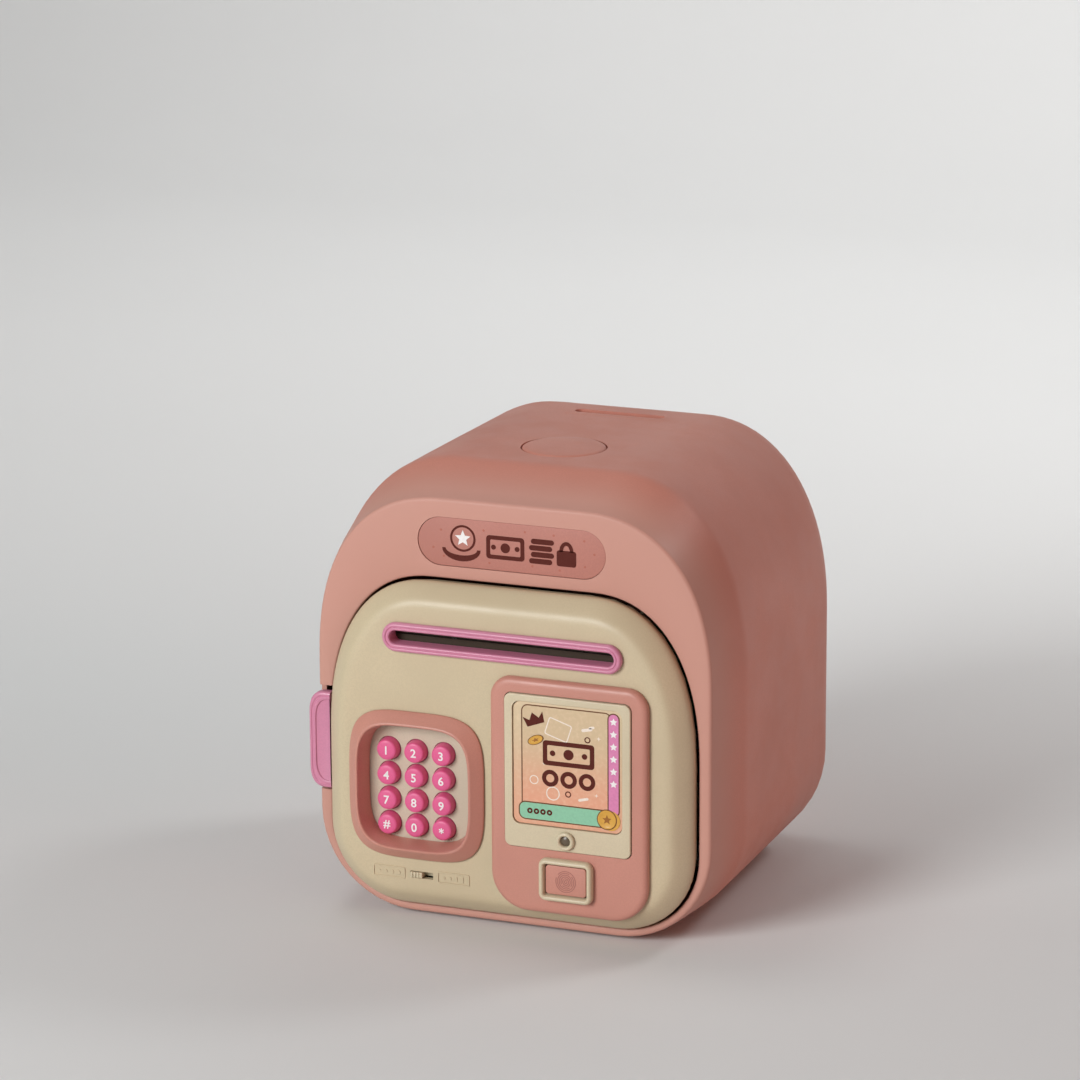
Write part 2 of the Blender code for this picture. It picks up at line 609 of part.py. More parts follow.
def build():
    clear_scene()
    salmon = material("salmon_abs", (0.56, 0.26, 0.20), 0.42)
    panel = material("panel_abs", (0.57, 0.26, 0.20), 0.40)
    plaque = material("plaque_print", (0.50, 0.22, 0.17), 0.50)
    cream = material("cream_abs", (0.60, 0.49, 0.33), 0.42)
    pink = material("pink_abs", (0.67, 0.27, 0.42), 0.38)
    key_pink = material("key_abs", (0.72, 0.10, 0.27), 0.34)
    card = material("card_print", (0.78, 0.55, 0.36), 0.45)
    dark = material("dark_plastic", (0.05, 0.045, 0.045), 0.45)
    rubber = material("rubber", (0.06, 0.06, 0.06), 0.80)
    board = material("circuit_board", (0.05, 0.20, 0.09), 0.50)
    steel = material("steel", (0.60, 0.60, 0.62), 0.30, 1.0)
    acetal = material("gear_acetal", (0.80, 0.78, 0.72), 0.45)

    bank = empty("bank_frame", (0, FACE_Y, FOOT_HEIGHT))
    housing_shell(salmon, bank)
    rear_cover(salmon, bank)
    sign_plaque(plaque, bank)
    battery_bay(salmon, bank)
    cash_floor(cream, bank)
    coin_chute(cream, bank)
    hinge_brackets(steel, bank)
    inside_fittings(board, dark, cream, bank)
    feet(rubber, bank)
    top_button(salmon, bank)

    door = empty("door_hinge_axis", (HINGE_X, HINGE_Y, 0), bank)
    door_shell(cream, door)
    door_inner_cover(cream, door)
    hinge_pins(steel, door)
    keypad_frame(panel, door)
    keypad_plate(cream, door)
    keys(key_pink, door)
    keypad_electronics(rubber, board, door)
    note_slot_bezel(pink, door)
    display_panel(panel, door)
    screen(cream, card, door)
    lamp(cream, dark, door)
    fingerprint(cream, panel, door)
    language_switch(cream, dark, door)
    pull_tab(pink, door)
    note_feeder(cream, steel, rubber, acetal, door)
    lock_bolt(steel, door)


build()
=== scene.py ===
# %% [markdown]
# # A toy savings bank with a keypad door
#
# The bank is a small plastic safe: a rounded salmon housing, and a cream door that carries a
# note slot, twelve keys, a printed screen, a fingerprint pad and a pull tab. The working model
# fixes where everything is and how it moves. This lesson dresses it: smooth shells, crisp
# edges, printed details and plastics that look moulded.

# %% Open the working model
import math

import bmesh
import bpy
from mathutils import Matrix, Vector


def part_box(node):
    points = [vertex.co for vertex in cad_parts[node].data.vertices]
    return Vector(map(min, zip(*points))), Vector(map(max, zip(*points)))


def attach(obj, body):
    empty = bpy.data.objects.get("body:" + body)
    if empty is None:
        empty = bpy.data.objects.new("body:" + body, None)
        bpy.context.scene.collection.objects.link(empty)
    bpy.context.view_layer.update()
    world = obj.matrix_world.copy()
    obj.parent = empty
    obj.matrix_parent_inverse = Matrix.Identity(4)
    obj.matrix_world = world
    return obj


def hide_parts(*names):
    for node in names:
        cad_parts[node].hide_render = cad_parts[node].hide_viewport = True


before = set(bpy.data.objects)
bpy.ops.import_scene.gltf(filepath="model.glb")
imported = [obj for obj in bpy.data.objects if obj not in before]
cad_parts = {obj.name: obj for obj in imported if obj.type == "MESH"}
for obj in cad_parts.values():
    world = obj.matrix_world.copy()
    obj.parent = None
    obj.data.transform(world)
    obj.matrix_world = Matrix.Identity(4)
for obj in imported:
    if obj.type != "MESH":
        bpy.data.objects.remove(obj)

bpy.context.view_layer.update()

# %% [markdown]
# Everything is drawn in millimetres in the bank's own frame: x to the right, y back from the
# face of the front ring, z up from the underside of the housing. One matrix carries that frame
# to its place in the working model, so no piece has to be fitted afterwards.

# %% Set up the bank's own frame
MM = 0.001
housing_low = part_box("housing_shell")[0]
TO_BANK = Matrix.Translation((0, housing_low.y, housing_low.z)) @ Matrix.Scale(MM, 4)
FROM_BANK = TO_BANK.inverted()


def cad(node):
    """A working node's lowest and highest corners, in the bank's frame, in millimetres."""
    low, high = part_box(node)
    return FROM_BANK @ low, FROM_BANK @ high


def middle(node):
    """The x and z of a working node's middle."""
    low, high = cad(node)
    return (low.x + high.x) / 2, (low.z + high.z) / 2


BODY_HALF, DEPTH, BODY_TOP = cad("housing_shell")[1]
door_low, door_high = cad("door_shell")
DOOR_FACE, DOOR_LOW = door_low.y, door_low.z
DOOR_HALF, DOOR_TOP = door_high.x, door_high.z
print(f"housing {2 * BODY_HALF:.0f} x {DEPTH:.0f} x {BODY_TOP:.0f} mm, door face at {DOOR_FACE:.1f}")

# %% [markdown]
# ## Outlines
#
# Every face of the bank is some rounded rectangle. A corner is a quarter of a superellipse: a
# power of 2 gives a plain arc, and a little more gives the fuller corner of the housing's
# shoulders. An outline could be drawn with curves, but a list of points lets the next step pull
# it in, stretch it or carry it along the depth.

# %% Draw outlines


def corner(cx, cz, rx, rz, start, power=2.0, steps=8):
    """A quarter turn from the angle `start`, anticlockwise seen from the front."""
    points = []
    for i in range(steps + 1):
        angle = math.radians(start + 90 * i / steps)
        c, s = math.cos(angle), math.sin(angle)
        x = math.copysign(abs(c) ** (2 / power), c)
        z = math.copysign(abs(s) ** (2 / power), s)
        points.append((cx + rx * x, cz + rz * z))
    return points


def arched(half, low, top, low_r, rx, rz, power, steps=24):
    """The bank's own outline: plain corners below, and full shoulders of rx by rz above."""
    points = corner(half - low_r, low + low_r, low_r, low_r, 270, steps=12)
    points += corner(half - rx, top - rz, rx, rz, 0, power, steps)
    points += corner(-half + rx, top - rz, rx, rz, 90, power, steps)
    points += corner(-half + low_r, low + low_r, low_r, low_r, 180, steps=12)
    return points


def rounded(cx, cz, half_x, half_z, radius, steps=8):
    """A rounded rectangle about (cx, cz)."""
    right, left = cx + half_x - radius, cx - half_x + radius
    low, top = cz - half_z + radius, cz + half_z - radius
    points = []
    for x, z, start in ((right, low, 270), (right, top, 0), (left, top, 90), (left, low, 180)):
        points += corner(x, z, radius, radius, start, steps=steps)
    return points


def stadium(cx, cz, half_x, half_z, steps=12):
    """A slot shape; its ends stop just short of full half circles, so no two points meet."""
    return rounded(cx, cz, half_x, half_z, half_z - 0.005, steps)


def disc(cx, cz, radius, steps=32):
    return [(cx + radius * math.cos(math.tau * i / steps),
             cz + radius * math.sin(math.tau * i / steps)) for i in range(steps)]


print("a corner of", len(corner(0, 0, 1, 1, 0)), "points")

# %% [markdown]
# ## Lofting
#
# Moulded shells are lofts: one outline is extruded along the depth again and again, and each new
# edge loop is laid on the next outline. Curves with a bevel could carry one section along a path,
# but only a loft lets the section change shape on the way.

# %% Loft outlines


def edges_of(bm, loop):
    return [bm.edges.get((a, b)) for a, b in zip(loop, loop[1:] + loop[:1])]


def first_loop(bm, points, y):
    loop = [bm.verts.new((x, y, z)) for x, z in points]
    for a, b in zip(loop, loop[1:] + loop[:1]):
        bm.edges.new((a, b))
    return loop


def grow(bm, loop, points, y):
    """Extrude a loop and lay the new one on another outline with as many points."""
    made = bmesh.ops.extrude_edge_only(bm, edges=edges_of(bm, loop))["geom"]
    fresh = {part for part in made if isinstance(part, bmesh.types.BMVert)}
    following = [next(e.other_vert(v) for e in v.link_edges if e.other_vert(v) in fresh)
                 for v in loop]
    for vert, (x, z) in zip(following, points):
        vert.co = (x, y, z)
    return following


def loft(stations, closed=False):
    """Join outlines, each (points, y); close the chain on itself or cap both ends."""
    bm = bmesh.new()
    loops = [first_loop(bm, *stations[0])]
    for points, y in stations[1:]:
        loops.append(grow(bm, loops[-1], points, y))
    if closed:
        bmesh.ops.bridge_loops(bm, edges=edges_of(bm, loops[0]) + edges_of(bm, loops[-1]))
    else:
        for loop in (loops[0], loops[-1]):
            bmesh.ops.edgeloop_fill(bm, edges=edges_of(bm, loop))
    return bm


def slab(points, near, far):
    return loft([(points, near), (points, far)])


trial = slab(stadium(0, 0, 5, 2), 0, 1)
print("a slab on a stadium has", len(trial.faces), "faces")
trial.free()

# %% [markdown]
# A plate with a sharp rim looks like a paper cut-out, because real edges are always a little round
# and catch the light. The bevel operator could round the rim, but pulling the outline in along a
# quarter circle gives clean, even strips of faces round every corner.

# %% Plates with a rolled rim


def pad(outline, near, far, edge, steps=4):
    """A plate whose front rim is rolled over by `edge`; outline(inset) gives its points."""
    stations = [(outline(0.0), far), (outline(0.0), near + edge)]
    for step in range(1, steps + 1):
        turn = math.radians(90 * step / steps)
        stations.append((outline(edge * (1 - math.cos(turn))), near + edge * (1 - math.sin(turn))))
    return loft(stations)


def box_outline(low, high, radius, grow_by=0.0):
    """A rounded rectangle round a working node's corners, as a function of the inset."""
    cx, cz = (low.x + high.x) / 2, (low.z + high.z) / 2
    half_x, half_z = (high.x - low.x) / 2 + grow_by, (high.z - low.z) / 2 + grow_by

    def outline(inset=0.0):
        return rounded(cx, cz, half_x - inset, half_z - inset, max(radius - inset, 0.2))

    return outline


trial = pad(box_outline(door_low, door_high, 20), 0, 5, 1)
print("a rolled plate has", len(trial.faces), "faces")
trial.free()

# %% [markdown]
# Round pieces are turned, as on a lathe: half a section is spun about its axis. Anything that
# faces the roof or the floor is drawn facing the front and then stood upright.

# %% Turned and upright shapes


def turned(profile, spot, axis="Y", segments=48, closed=False):
    """Spin (radius, height) points about an axis, then carry the shape to its spot."""
    bm = bmesh.new()
    verts = [bm.verts.new((radius, height, 0)) for radius, height in profile]
    pairs = list(zip(verts, verts[1:]))
    if closed:
        pairs.append((verts[-1], verts[0]))
    edges = [bm.edges.new(pair) for pair in pairs]
    bmesh.ops.spin(bm, geom=verts + edges, cent=(0, 0, 0), axis=(0, 1, 0),
                   angle=math.tau, steps=segments, use_merge=True)
    turn = {"X": (-90, "Z"), "Y": (0, "Z"), "Z": (90, "X")}[axis]
    bmesh.ops.rotate(bm, matrix=Matrix.Rotation(math.radians(turn[0]), 3, turn[1]), verts=bm.verts)
    bmesh.ops.translate(bm, vec=spot, verts=bm.verts)
    return bm


def upright(bm):
    """Stand a shape drawn in x and -y, along y, up along z."""
    bmesh.ops.rotate(bm, matrix=Matrix.Rotation(math.radians(90), 3, "X"), verts=bm.verts)
    return bm


def tower(points, low, high):
    """A slab that stands upright on an outline drawn in x and y."""
    return upright(slab([(x, -y) for x, y in points], low, high))


trial = turned([(1, 0), (2, 0), (2, 1), (1, 1)], (0, 0, 0), closed=True)
print("a turned ring has", len(trial.faces), "faces")
trial.free()

# %% [markdown]
# Flat-sided pieces start from a cube that is scaled to its three spans and may have its edges
# bevelled. Small shapes that belong together, such as a row of stars, become one bmesh.

# %% Blocks and groups


def block(x, y, z, edge=0.0, segments=3):
    """A box over three spans, each (low, high)."""
    bm = bmesh.new()
    bmesh.ops.create_cube(bm, size=1.0)
    bmesh.ops.scale(bm, vec=(x[1] - x[0], y[1] - y[0], z[1] - z[0]), verts=bm.verts)
    middle = ((x[0] + x[1]) / 2, (y[0] + y[1]) / 2, (z[0] + z[1]) / 2)
    bmesh.ops.translate(bm, vec=middle, verts=bm.verts)
    if edge:
        bmesh.ops.bevel(bm, geom=bm.edges[:], offset=edge, segments=segments, profile=0.5,
                        affect="EDGES", material=-1)
    return bm


def joined(shapes):
    """Several loose shapes in one bmesh, such as a row of stars."""
    whole = bmesh.new()
    for shape in shapes:
        scrap = bpy.data.meshes.new("scrap")
        shape.to_mesh(scrap)
        shape.free()
        whole.from_mesh(scrap)
        bpy.data.meshes.remove(scrap)
    return whole


trial = joined([block((0, 1), (0, 1), (0, 1)), block((2, 3), (0, 1), (0, 1), 0.1)])
print("a plain and a bevelled block have", len(trial.faces), "faces")
trial.free()

# %% [markdown]
# ## From shape to piece
#
# A finished piece is merged, turned right side out, carried to its place and shaded smooth with
# sharp edges kept. It then rides on the body that moves it, takes its finish, and hides the plain
# solids of the working model that it stands for.

# %% Finish a piece
MERGE, SHARP_FROM = 0.0005, math.radians(38)


def piece(name, bm, body, finish, replaces=(), cuts=()):
    """Make an object of a drawn shape, on its body, with its finish; the nodes it replaces are hidden."""
    bmesh.ops.remove_doubles(bm, verts=bm.verts, dist=MERGE)
    bmesh.ops.recalc_face_normals(bm, faces=bm.faces)
    bmesh.ops.transform(bm, matrix=TO_BANK, verts=bm.verts)
    mesh = bpy.data.meshes.new(name)
    bm.to_mesh(mesh)
    bm.free()
    made = bpy.data.objects.new(name, mesh)
    bpy.context.collection.objects.link(made)
    for cutter in cuts:
        carve(made, cutter)
    made.data.shade_smooth()
    made.data.set_sharp_from_angle(angle=SHARP_FROM)
    made.data.materials.append(finish)
    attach(made, body)
    if replaces:
        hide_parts(*replaces)
    return made


def carve(made, cutter):
    """Cut a shape out of a piece for good, with an exact Boolean."""
    bmesh.ops.remove_doubles(cutter, verts=cutter.verts, dist=MERGE)
    bmesh.ops.recalc_face_normals(cutter, faces=cutter.faces)
    bmesh.ops.transform(cutter, matrix=TO_BANK, verts=cutter.verts)
    tool_mesh = bpy.data.meshes.new("cutter")
    cutter.to_mesh(tool_mesh)
    cutter.free()
    tool = bpy.data.objects.new("cutter", tool_mesh)
    bpy.context.collection.objects.link(tool)
    step = made.modifiers.new("cut", "BOOLEAN")
    step.operation = "DIFFERENCE"
    step.solver = "EXACT"
    step.object = tool
    depsgraph = bpy.context.evaluated_depsgraph_get()
    result = bpy.data.meshes.new_from_object(made.evaluated_get(depsgraph))
    made.modifiers.clear()
    made.data = result
    bpy.data.objects.remove(tool)


print(len(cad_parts), "working nodes to dress or to stand in for")

# %% [markdown]
# ## Shader arithmetic
#
# A procedural finish is arithmetic on patterns. Writing it as Python expressions keeps it
# readable: a `Value` wraps a socket, and each `+` or `*` adds one Math node.

# %% Wrap a socket


class Value:
    """A socket that can be added to, multiplied, and stretched to the range 0 to 1."""

    def __init__(self, paint, socket):
        self.paint = paint
        self.socket = socket

    def _maths(self, operation, *inputs):
        return self.paint.node("ShaderNodeMath", {"operation": operation}, inputs)

    def __add__(self, other):
        return self._maths("ADD", self, other)

    def __mul__(self, other):
        return self._maths("MULTIPLY", self, other)

    __radd__, __rmul__ = __add__, __mul__

    def between(self, low, high):
        """0 below `low`, 1 above `high`, and a smooth rise in between."""
        span = {"interpolation_type": "SMOOTHSTEP"}
        return self.paint.node("ShaderNodeMapRange", span, {"Value": self, "From Min": low,
                                                            "From Max": high})


print("operators:", [name for name in vars(Value) if name.endswith(("add__", "mul__"))])

# %% [markdown]
# `Paint` holds one material: its Principled shader, its Object coordinates and every node that is
# added with settings and inputs. Generated coordinates would stretch a grain to each piece's
# box; Object coordinates keep it the same size on all of them.

# %% Hold one material


class Paint:
    """One material: a Principled shader and the nodes that feed it."""

    def __init__(self, name, roughness=0.5, **constants):
        self.material = bpy.data.materials.new(name)
        self.material.use_nodes = True
        self.tree = self.material.node_tree
        self.shader = self.tree.nodes["Principled BSDF"]
        self.shader.inputs["Roughness"].default_value = roughness
        for socket, value in constants.items():
            self.shader.inputs[socket.replace("_", " ")].default_value = value
        self.coords = self.node("ShaderNodeTexCoord", {}, {}, "Object")

    def node(self, kind, settings, inputs, output=0):
        made = self.tree.nodes.new(kind)
        for key, value in settings.items():
            setattr(made, key, value)
        named = inputs.items() if isinstance(inputs, dict) else enumerate(inputs)
        for key, value in named:
            if isinstance(value, Value):
                self.tree.links.new(value.socket, made.inputs[key])
            else:
                made.inputs[key].default_value = value
        return Value(self, made.outputs[output])

    def noise(self, size, detail=2.0, roughness=0.5):
        """Cloudy noise whose patches are about `size` metres across."""
        return self.node("ShaderNodeTexNoise", {}, {"Vector": self.coords, "Scale": 1 / size,
                                                    "Detail": detail, "Roughness": roughness})

    def height(self, axis):
        """One coordinate of the surface, in metres."""
        return self.node("ShaderNodeSeparateXYZ", {}, [self.coords], axis)

    def blend(self, factor, a, b):
        """A colour between `a` and `b`, each a colour or a value."""
        made = self.tree.nodes.new("ShaderNodeMix")
        made.data_type = "RGBA"
        for socket, value in zip((made.inputs[0], made.inputs[6], made.inputs[7]), (factor, a, b)):
            if isinstance(value, Value):
                self.tree.links.new(value.socket, socket)
            elif isinstance(value, tuple):
                socket.default_value = (*value, 1.0)
            else:
                socket.default_value = value
        return Value(self, made.outputs[2])

    def feed(self, socket, value):
        self.tree.links.new(value.socket, self.shader.inputs[socket])

    def bump(self, height, distance):
        """Roughen the surface: `height` runs from 0 to 1 and stands `distance` metres tall."""
        made = self.node("ShaderNodeBump", {}, {"Height": height, "Distance": distance}, "Normal")
        self.feed("Normal", made)


def shade(colour, amount):
    """A colour made lighter (above 1) or darker (below 1)."""
    return tuple(min(channel * amount, 1.0) for channel in colour)


trial = Paint("trial")
trial.feed("Roughness", trial.noise(0.01) * 0.5 + 0.2)
print("noise * 0.5 + 0.2 takes", len(trial.tree.nodes) - 2, "nodes")
bpy.data.materials.remove(trial.material)

# %% [markdown]
# ## Moulded plastic
#
# Moulded ABS is never one flat tone. The tool's spark-eroded skin leaves a grain a few tenths of
# a millimetre across that softens the shine, the pigment drifts slightly over centimetres, and
# handling leaves faint rubbed patches. One function makes every plastic of the bank, with its
# own colour, gloss and relief. On the housing it also paints the front paler: a painted sheen
# that stands for the soft light the front face reflects.

# %% Moulded plastic
GRAIN = 0.32 * MM
SHEEN_DEPTH = 24 * MM


def moulded(name, colour, roughness=0.42, depth=0.000012, drift=0.05, coat=0.0, gloss=0.5, front_sheen=None):
    """Plastic with grain, mottling and rubbed patches; the optional last colour is painted on the bank's
    front as a painted sheen of reflected light.
    """
    paint = Paint(name, roughness, Coat_Weight=coat, Coat_Roughness=0.25, Specular_IOR_Level=gloss)
    clouds = paint.noise(0.045, 3.0)
    specks = paint.noise(GRAIN * 1.7, 1.0)
    tone = paint.blend(clouds.between(0.3, 0.7), shade(colour, 1 - drift), shade(colour, 1 + drift))
    tone = paint.blend(specks.between(0.35, 0.65) * 0.5, tone, shade(colour, 0.93))
    # Painted sheen: the front of the moulding, easing back over its first 24 mm, takes a paler colour
    # that stands for reflected soft light.
    if front_sheen:
        behind = paint.height(1).between(housing_low.y, housing_low.y + SHEEN_DEPTH)
        tone = paint.blend(behind, front_sheen, tone)
    paint.feed("Base Color", tone)
    rubbed = paint.noise(0.018, 4.0, 0.6)
    paint.feed("Roughness", rubbed.between(0.35, 0.7) * 0.08 + (roughness - 0.04))
    paint.bump(paint.noise(GRAIN), depth)
    return paint.material


SALMON = (0.585, 0.232, 0.172)
CREAM = (0.570, 0.475, 0.315)
# The paler front colour given here is painted sheen.
salmon = moulded("salmon_moulding", SALMON, 0.46, gloss=0.26, front_sheen=(0.560, 0.290, 0.232))
# A darker copy of the salmon for the battery tray: painted shade for the inside of the bay.
salmon_painted_shade = moulded("salmon_inner_painted_shade", shade(SALMON, 0.9), 0.55, depth=0.00002)
panel_salmon = moulded("panel_moulding", (0.545, 0.245, 0.190), 0.42)
plaque_print = moulded("plaque_label", (0.455, 0.180, 0.140), 0.50)
# Darker than the pad it lies on: painted shade for the lines of the fingerprint whorl.
whorl_shade_tone = moulded("whorl_painted_shade", (0.370, 0.150, 0.120), 0.50)
smoke = moulded("smoked_lens", (0.120, 0.090, 0.060), 0.3, depth=0.000002)
cream = moulded("cream_moulding", CREAM, 0.42)
pale_cream = moulded("bezel_moulding", (0.620, 0.535, 0.375), 0.40)
# A greyer copy of the cream for the keypad's sunken floor: painted shade for its recess.
recess_shade_cream = moulded("keypad_floor", (0.560, 0.480, 0.370), 0.52)
candy = moulded("candy_pink_moulding", (0.610, 0.225, 0.345), 0.38, coat=0.15)
hot_pink = moulded("key_moulding", (0.720, 0.110, 0.270), 0.42, drift=0.03)
charcoal = moulded("dark_moulding", (0.030, 0.026, 0.026), 0.45)
# Near-black, for the flaps behind the note slot: painted shade for the unlit inside.
slot_shade_dark = moulded("slot_shade_flap", (0.040, 0.028, 0.016), 0.85)
print(len(bpy.data.materials), "plastics")

# %% [markdown]
# Printed inks lie flat, with a faint mottle where the ink film is thin. Brown lines and marks are
# matt, and the coloured areas slightly shinier.

# %% Inks


def ink(name, colour, roughness=0.38, gloss=0.5):
    paint = Paint(name, roughness, Specular_IOR_Level=gloss)
    mottle = paint.noise(0.0011, 3.0)
    paint.feed("Base Color", paint.blend(mottle.between(0.3, 0.8), colour, shade(colour, 0.9)))
    paint.feed("Roughness", mottle * 0.12 + (roughness - 0.06))
    return paint.material


brown_ink = ink("brown_ink", (0.098, 0.018, 0.012), 0.6, 0.15)
fleck_ink = ink("fleck_ink", (0.430, 0.130, 0.085), 0.5)
line_ink = ink("line_ink", (0.150, 0.065, 0.030), 0.6, 0.2)
white_ink = ink("white_ink", (0.86, 0.84, 0.83), 0.35)
mint_ink = ink("mint_ink", (0.262, 0.560, 0.372))
strip_ink = ink("strip_ink", (0.690, 0.225, 0.430))
gold_ink = ink("gold_ink", (0.680, 0.370, 0.060), 0.32)
amber_ink = ink("amber_ink", (0.330, 0.125, 0.015), 0.4)
pale_ink = ink("pale_ink", (0.86, 0.76, 0.66))
print(len(bpy.data.materials), "materials with the inks")

# %% [markdown]
# Metal, rubber and circuit board get their own small recipes: streaks from the brush, a dull
# bloom, and copper showing faintly under green solder mask. Screws and feet show from outside,
# and the rest when the door opens.

# %% Metal, rubber and board
STREAK_SCALE = (60, 60, 2500)


def plated_steel(name, colour):
    paint = Paint(name, 0.3, Metallic=1.0)
    stretched = paint.node("ShaderNodeMapping", {}, {"Vector": paint.coords, "Scale": STREAK_SCALE})
    lines = paint.node("ShaderNodeTexNoise", {}, {"Vector": stretched, "Scale": 1.0, "Detail": 3.0})
    paint.feed("Base Color", paint.blend(lines.between(0.3, 0.7), shade(colour, 0.8), colour))
    paint.feed("Roughness", lines * 0.25 + 0.2)
    paint.bump(lines, 0.00001)
    return paint.material


def soft_rubber(name, colour):
    paint = Paint(name, 0.8)
    bloom = paint.noise(0.006, 4.0, 0.65)
    paint.feed("Base Color", paint.blend(bloom.between(0.35, 0.75), colour, shade(colour, 1.8)))
    paint.feed("Roughness", bloom * 0.2 + 0.68)
    paint.bump(paint.noise(0.0004, 2.0), 0.00003)
    return paint.material


def solder_mask(name):
    paint = Paint(name, 0.35)
    tracks = paint.node("ShaderNodeTexVoronoi", {"feature": "F1", "distance": "CHEBYCHEV"},
                        {"Vector": paint.coords, "Scale": 320.0})
    copper = tracks.between(0.30, 0.36)
    paint.feed("Base Color", paint.blend(copper, (0.02, 0.12, 0.05), (0.035, 0.20, 0.07)))
    paint.feed("Roughness", copper * 0.1 + 0.3)
    paint.bump(copper, 0.00004)
    return paint.material


steel = plated_steel("plated_steel", (0.62, 0.62, 0.64))
rubber = soft_rubber("black_rubber", (0.022, 0.021, 0.022))
board = solder_mask("solder_mask")
acetal = moulded("white_acetal", (0.74, 0.72, 0.66), 0.45)
print(len(bpy.data.materials), "materials in all")

# %% [markdown]
# ## The housing
#
# The housing is one deep moulding. Seen from the front it is an arch: a flat ring round the door,
# then a sloping shoulder that widens to the full body 25 mm back, then straight sides with a
# little draft and softly rolled back edges. Two outlines drive it all: one for the body, which
# grows from the ring to the full size, and one for the door.

# %% Draw the body and the door
RING_HALF, RING_TOP = 75.8, 157.0
DOOR_CORNER, DOOR_SHOULDER = 29, (40, 60)


def housing_outline(share, inset=0.0, draft=0.0):
    """0 is the front ring and 1 the full body; `inset` pulls the outline in all round.

    Towards the body the shoulders grow taller and the low corners a little larger.
    """
    half = RING_HALF + (BODY_HALF - RING_HALF) * share - draft - inset
    top = RING_TOP + (BODY_TOP - RING_TOP) * share - draft / 2 - inset
    rz = 65 + 7 * share - inset
    low_r = max(36 + 2 * share - inset, 6)
    return arched(half, inset, top, low_r, 50 - inset, rz, 2.35 - 0.15 * share)


def door_outline(inset=0.0):
    return arched(DOOR_HALF - inset, DOOR_LOW + inset, DOOR_TOP - inset, DOOR_CORNER - inset,
                  DOOR_SHOULDER[0] - inset, DOOR_SHOULDER[1] - inset, 2.3)


print("an outline of the body has", len(housing_outline(1)), "points")

# %% [markdown]
# The skin is a loft of about fifty outlines, outside from front to back and inside from back to
# front, closed on itself so that the wall has a thickness. A box with bevels would be quicker,
# but its corners would never have this changing shape.

# %% Loft the skin
SHOULDER = 25.0
EASE_FROM, EASE_TO, SHARE_FROM = 22.6, 27.6, 0.91
BACK_ROUND, BACK_DRAFT = 20.0, 1.7
WALL, RING_THICK, RING_ROUND = 2.2, 2.0, 1.5
DOOR_GAP = 0.85


def quarter(steps):
    """Shares of a quarter turn, as (1 - cos, 1 - sin) pairs after the start."""
    angles = [math.radians(90 * i / steps) for i in range(1, steps + 1)]
    return [(1 - math.cos(a), 1 - math.sin(a)) for a in angles]


def shoulder_stations(inset=0.0):
    """The slope behind the ring, eased into the straight sides."""
    stations = [(housing_outline(SHARE_FROM * y / EASE_FROM, inset), y) for y in (6.0, 12.0, EASE_FROM)]
    for step in range(1, 6):
        u = step / 5
        y = (1 - u) ** 2 * EASE_FROM + 2 * u * (1 - u) * SHOULDER + u * u * EASE_TO
        share = (1 - u) ** 2 * SHARE_FROM + 2 * u * (1 - u) + u * u
        stations.append((housing_outline(share, inset), y))
    return stations


def housing_skin():
    outside = [(housing_outline(0, RING_ROUND * (1 - s)), RING_ROUND * (1 - c))
               for c, s in [(math.cos(a), math.sin(a)) for a in
                            [math.radians(90 * i / 5) for i in range(6)]]]
    outside += shoulder_stations()
    for y in (60.0, 90.0, DEPTH - BACK_ROUND):
        outside.append((housing_outline(1, 0, BACK_DRAFT * (y - 34) / 84), y))
    for pulled, left in quarter(10):
        outside.append((housing_outline(1, BACK_ROUND * pulled, BACK_DRAFT),
                        DEPTH - BACK_ROUND * left))
    ledge = [(26.0, DEPTH), (26.0, DEPTH - 2), (30.0, DEPTH - 2), (30.0, DEPTH - 4),
             (BACK_ROUND, DEPTH - 4), (11.0, DEPTH - 7.5), (5.0, DEPTH - 13),
             (WALL + 0.3, DEPTH - BACK_ROUND)]
    inside = [(housing_outline(1, inset, BACK_DRAFT), y) for inset, y in ledge]
    inside += list(reversed(shoulder_stations(WALL)))
    inside.append((housing_outline(0.05, 1.6), RING_THICK))
    lip = [(DOOR_GAP, RING_THICK), (DOOR_GAP, 0.9), (DOOR_GAP + 0.1, 0.45), (DOOR_GAP + 0.35, 0.15),
           (DOOR_GAP + 0.8, 0.0)]
    rim = [(door_outline(-gap), y) for gap, y in lip]
    stations = outside + inside + rim
    print("the skin is lofted through", len(stations), "outlines")
    return loft(stations, closed=True)


skin = housing_skin()

# %% [markdown]
# The openings are cut last, by exact Booleans: the button's hole, the coin slit with an engraved
# line round it, a notch for the pull tab, the plaque's recess and the battery bay. Drawing them
# into the outlines would spoil the even loft.

# %% Cut the housing
button_low, button_high = cad("top_button")
BUTTON_Y, BUTTON_R, HAIRLINE = (button_low.y + button_high.y) / 2, 15.5, 0.35
COIN_Y, COIN_HALF = 109.4, (17.8, 2.3)
TAB_LOW, TAB_HIGH = cad("pull_tab")
PLAQUE_LOW, PLAQUE_HIGH = cad("sign_plaque")
PLAQUE_HALF, PLAQUE_Z = (35.85, 8.85), middle("sign_plaque")[1]
BAY_LOW, BAY_HIGH = cad("battery_door")


def ring_cutter(outer, inner, low, high):
    """A thin upright ring, for an engraved line on the roof."""
    outer, inner = ([(x, -y) for x, y in points] for points in (outer, inner))
    return upright(loft([(outer, low), (outer, high), (inner, high), (inner, low)], closed=True))


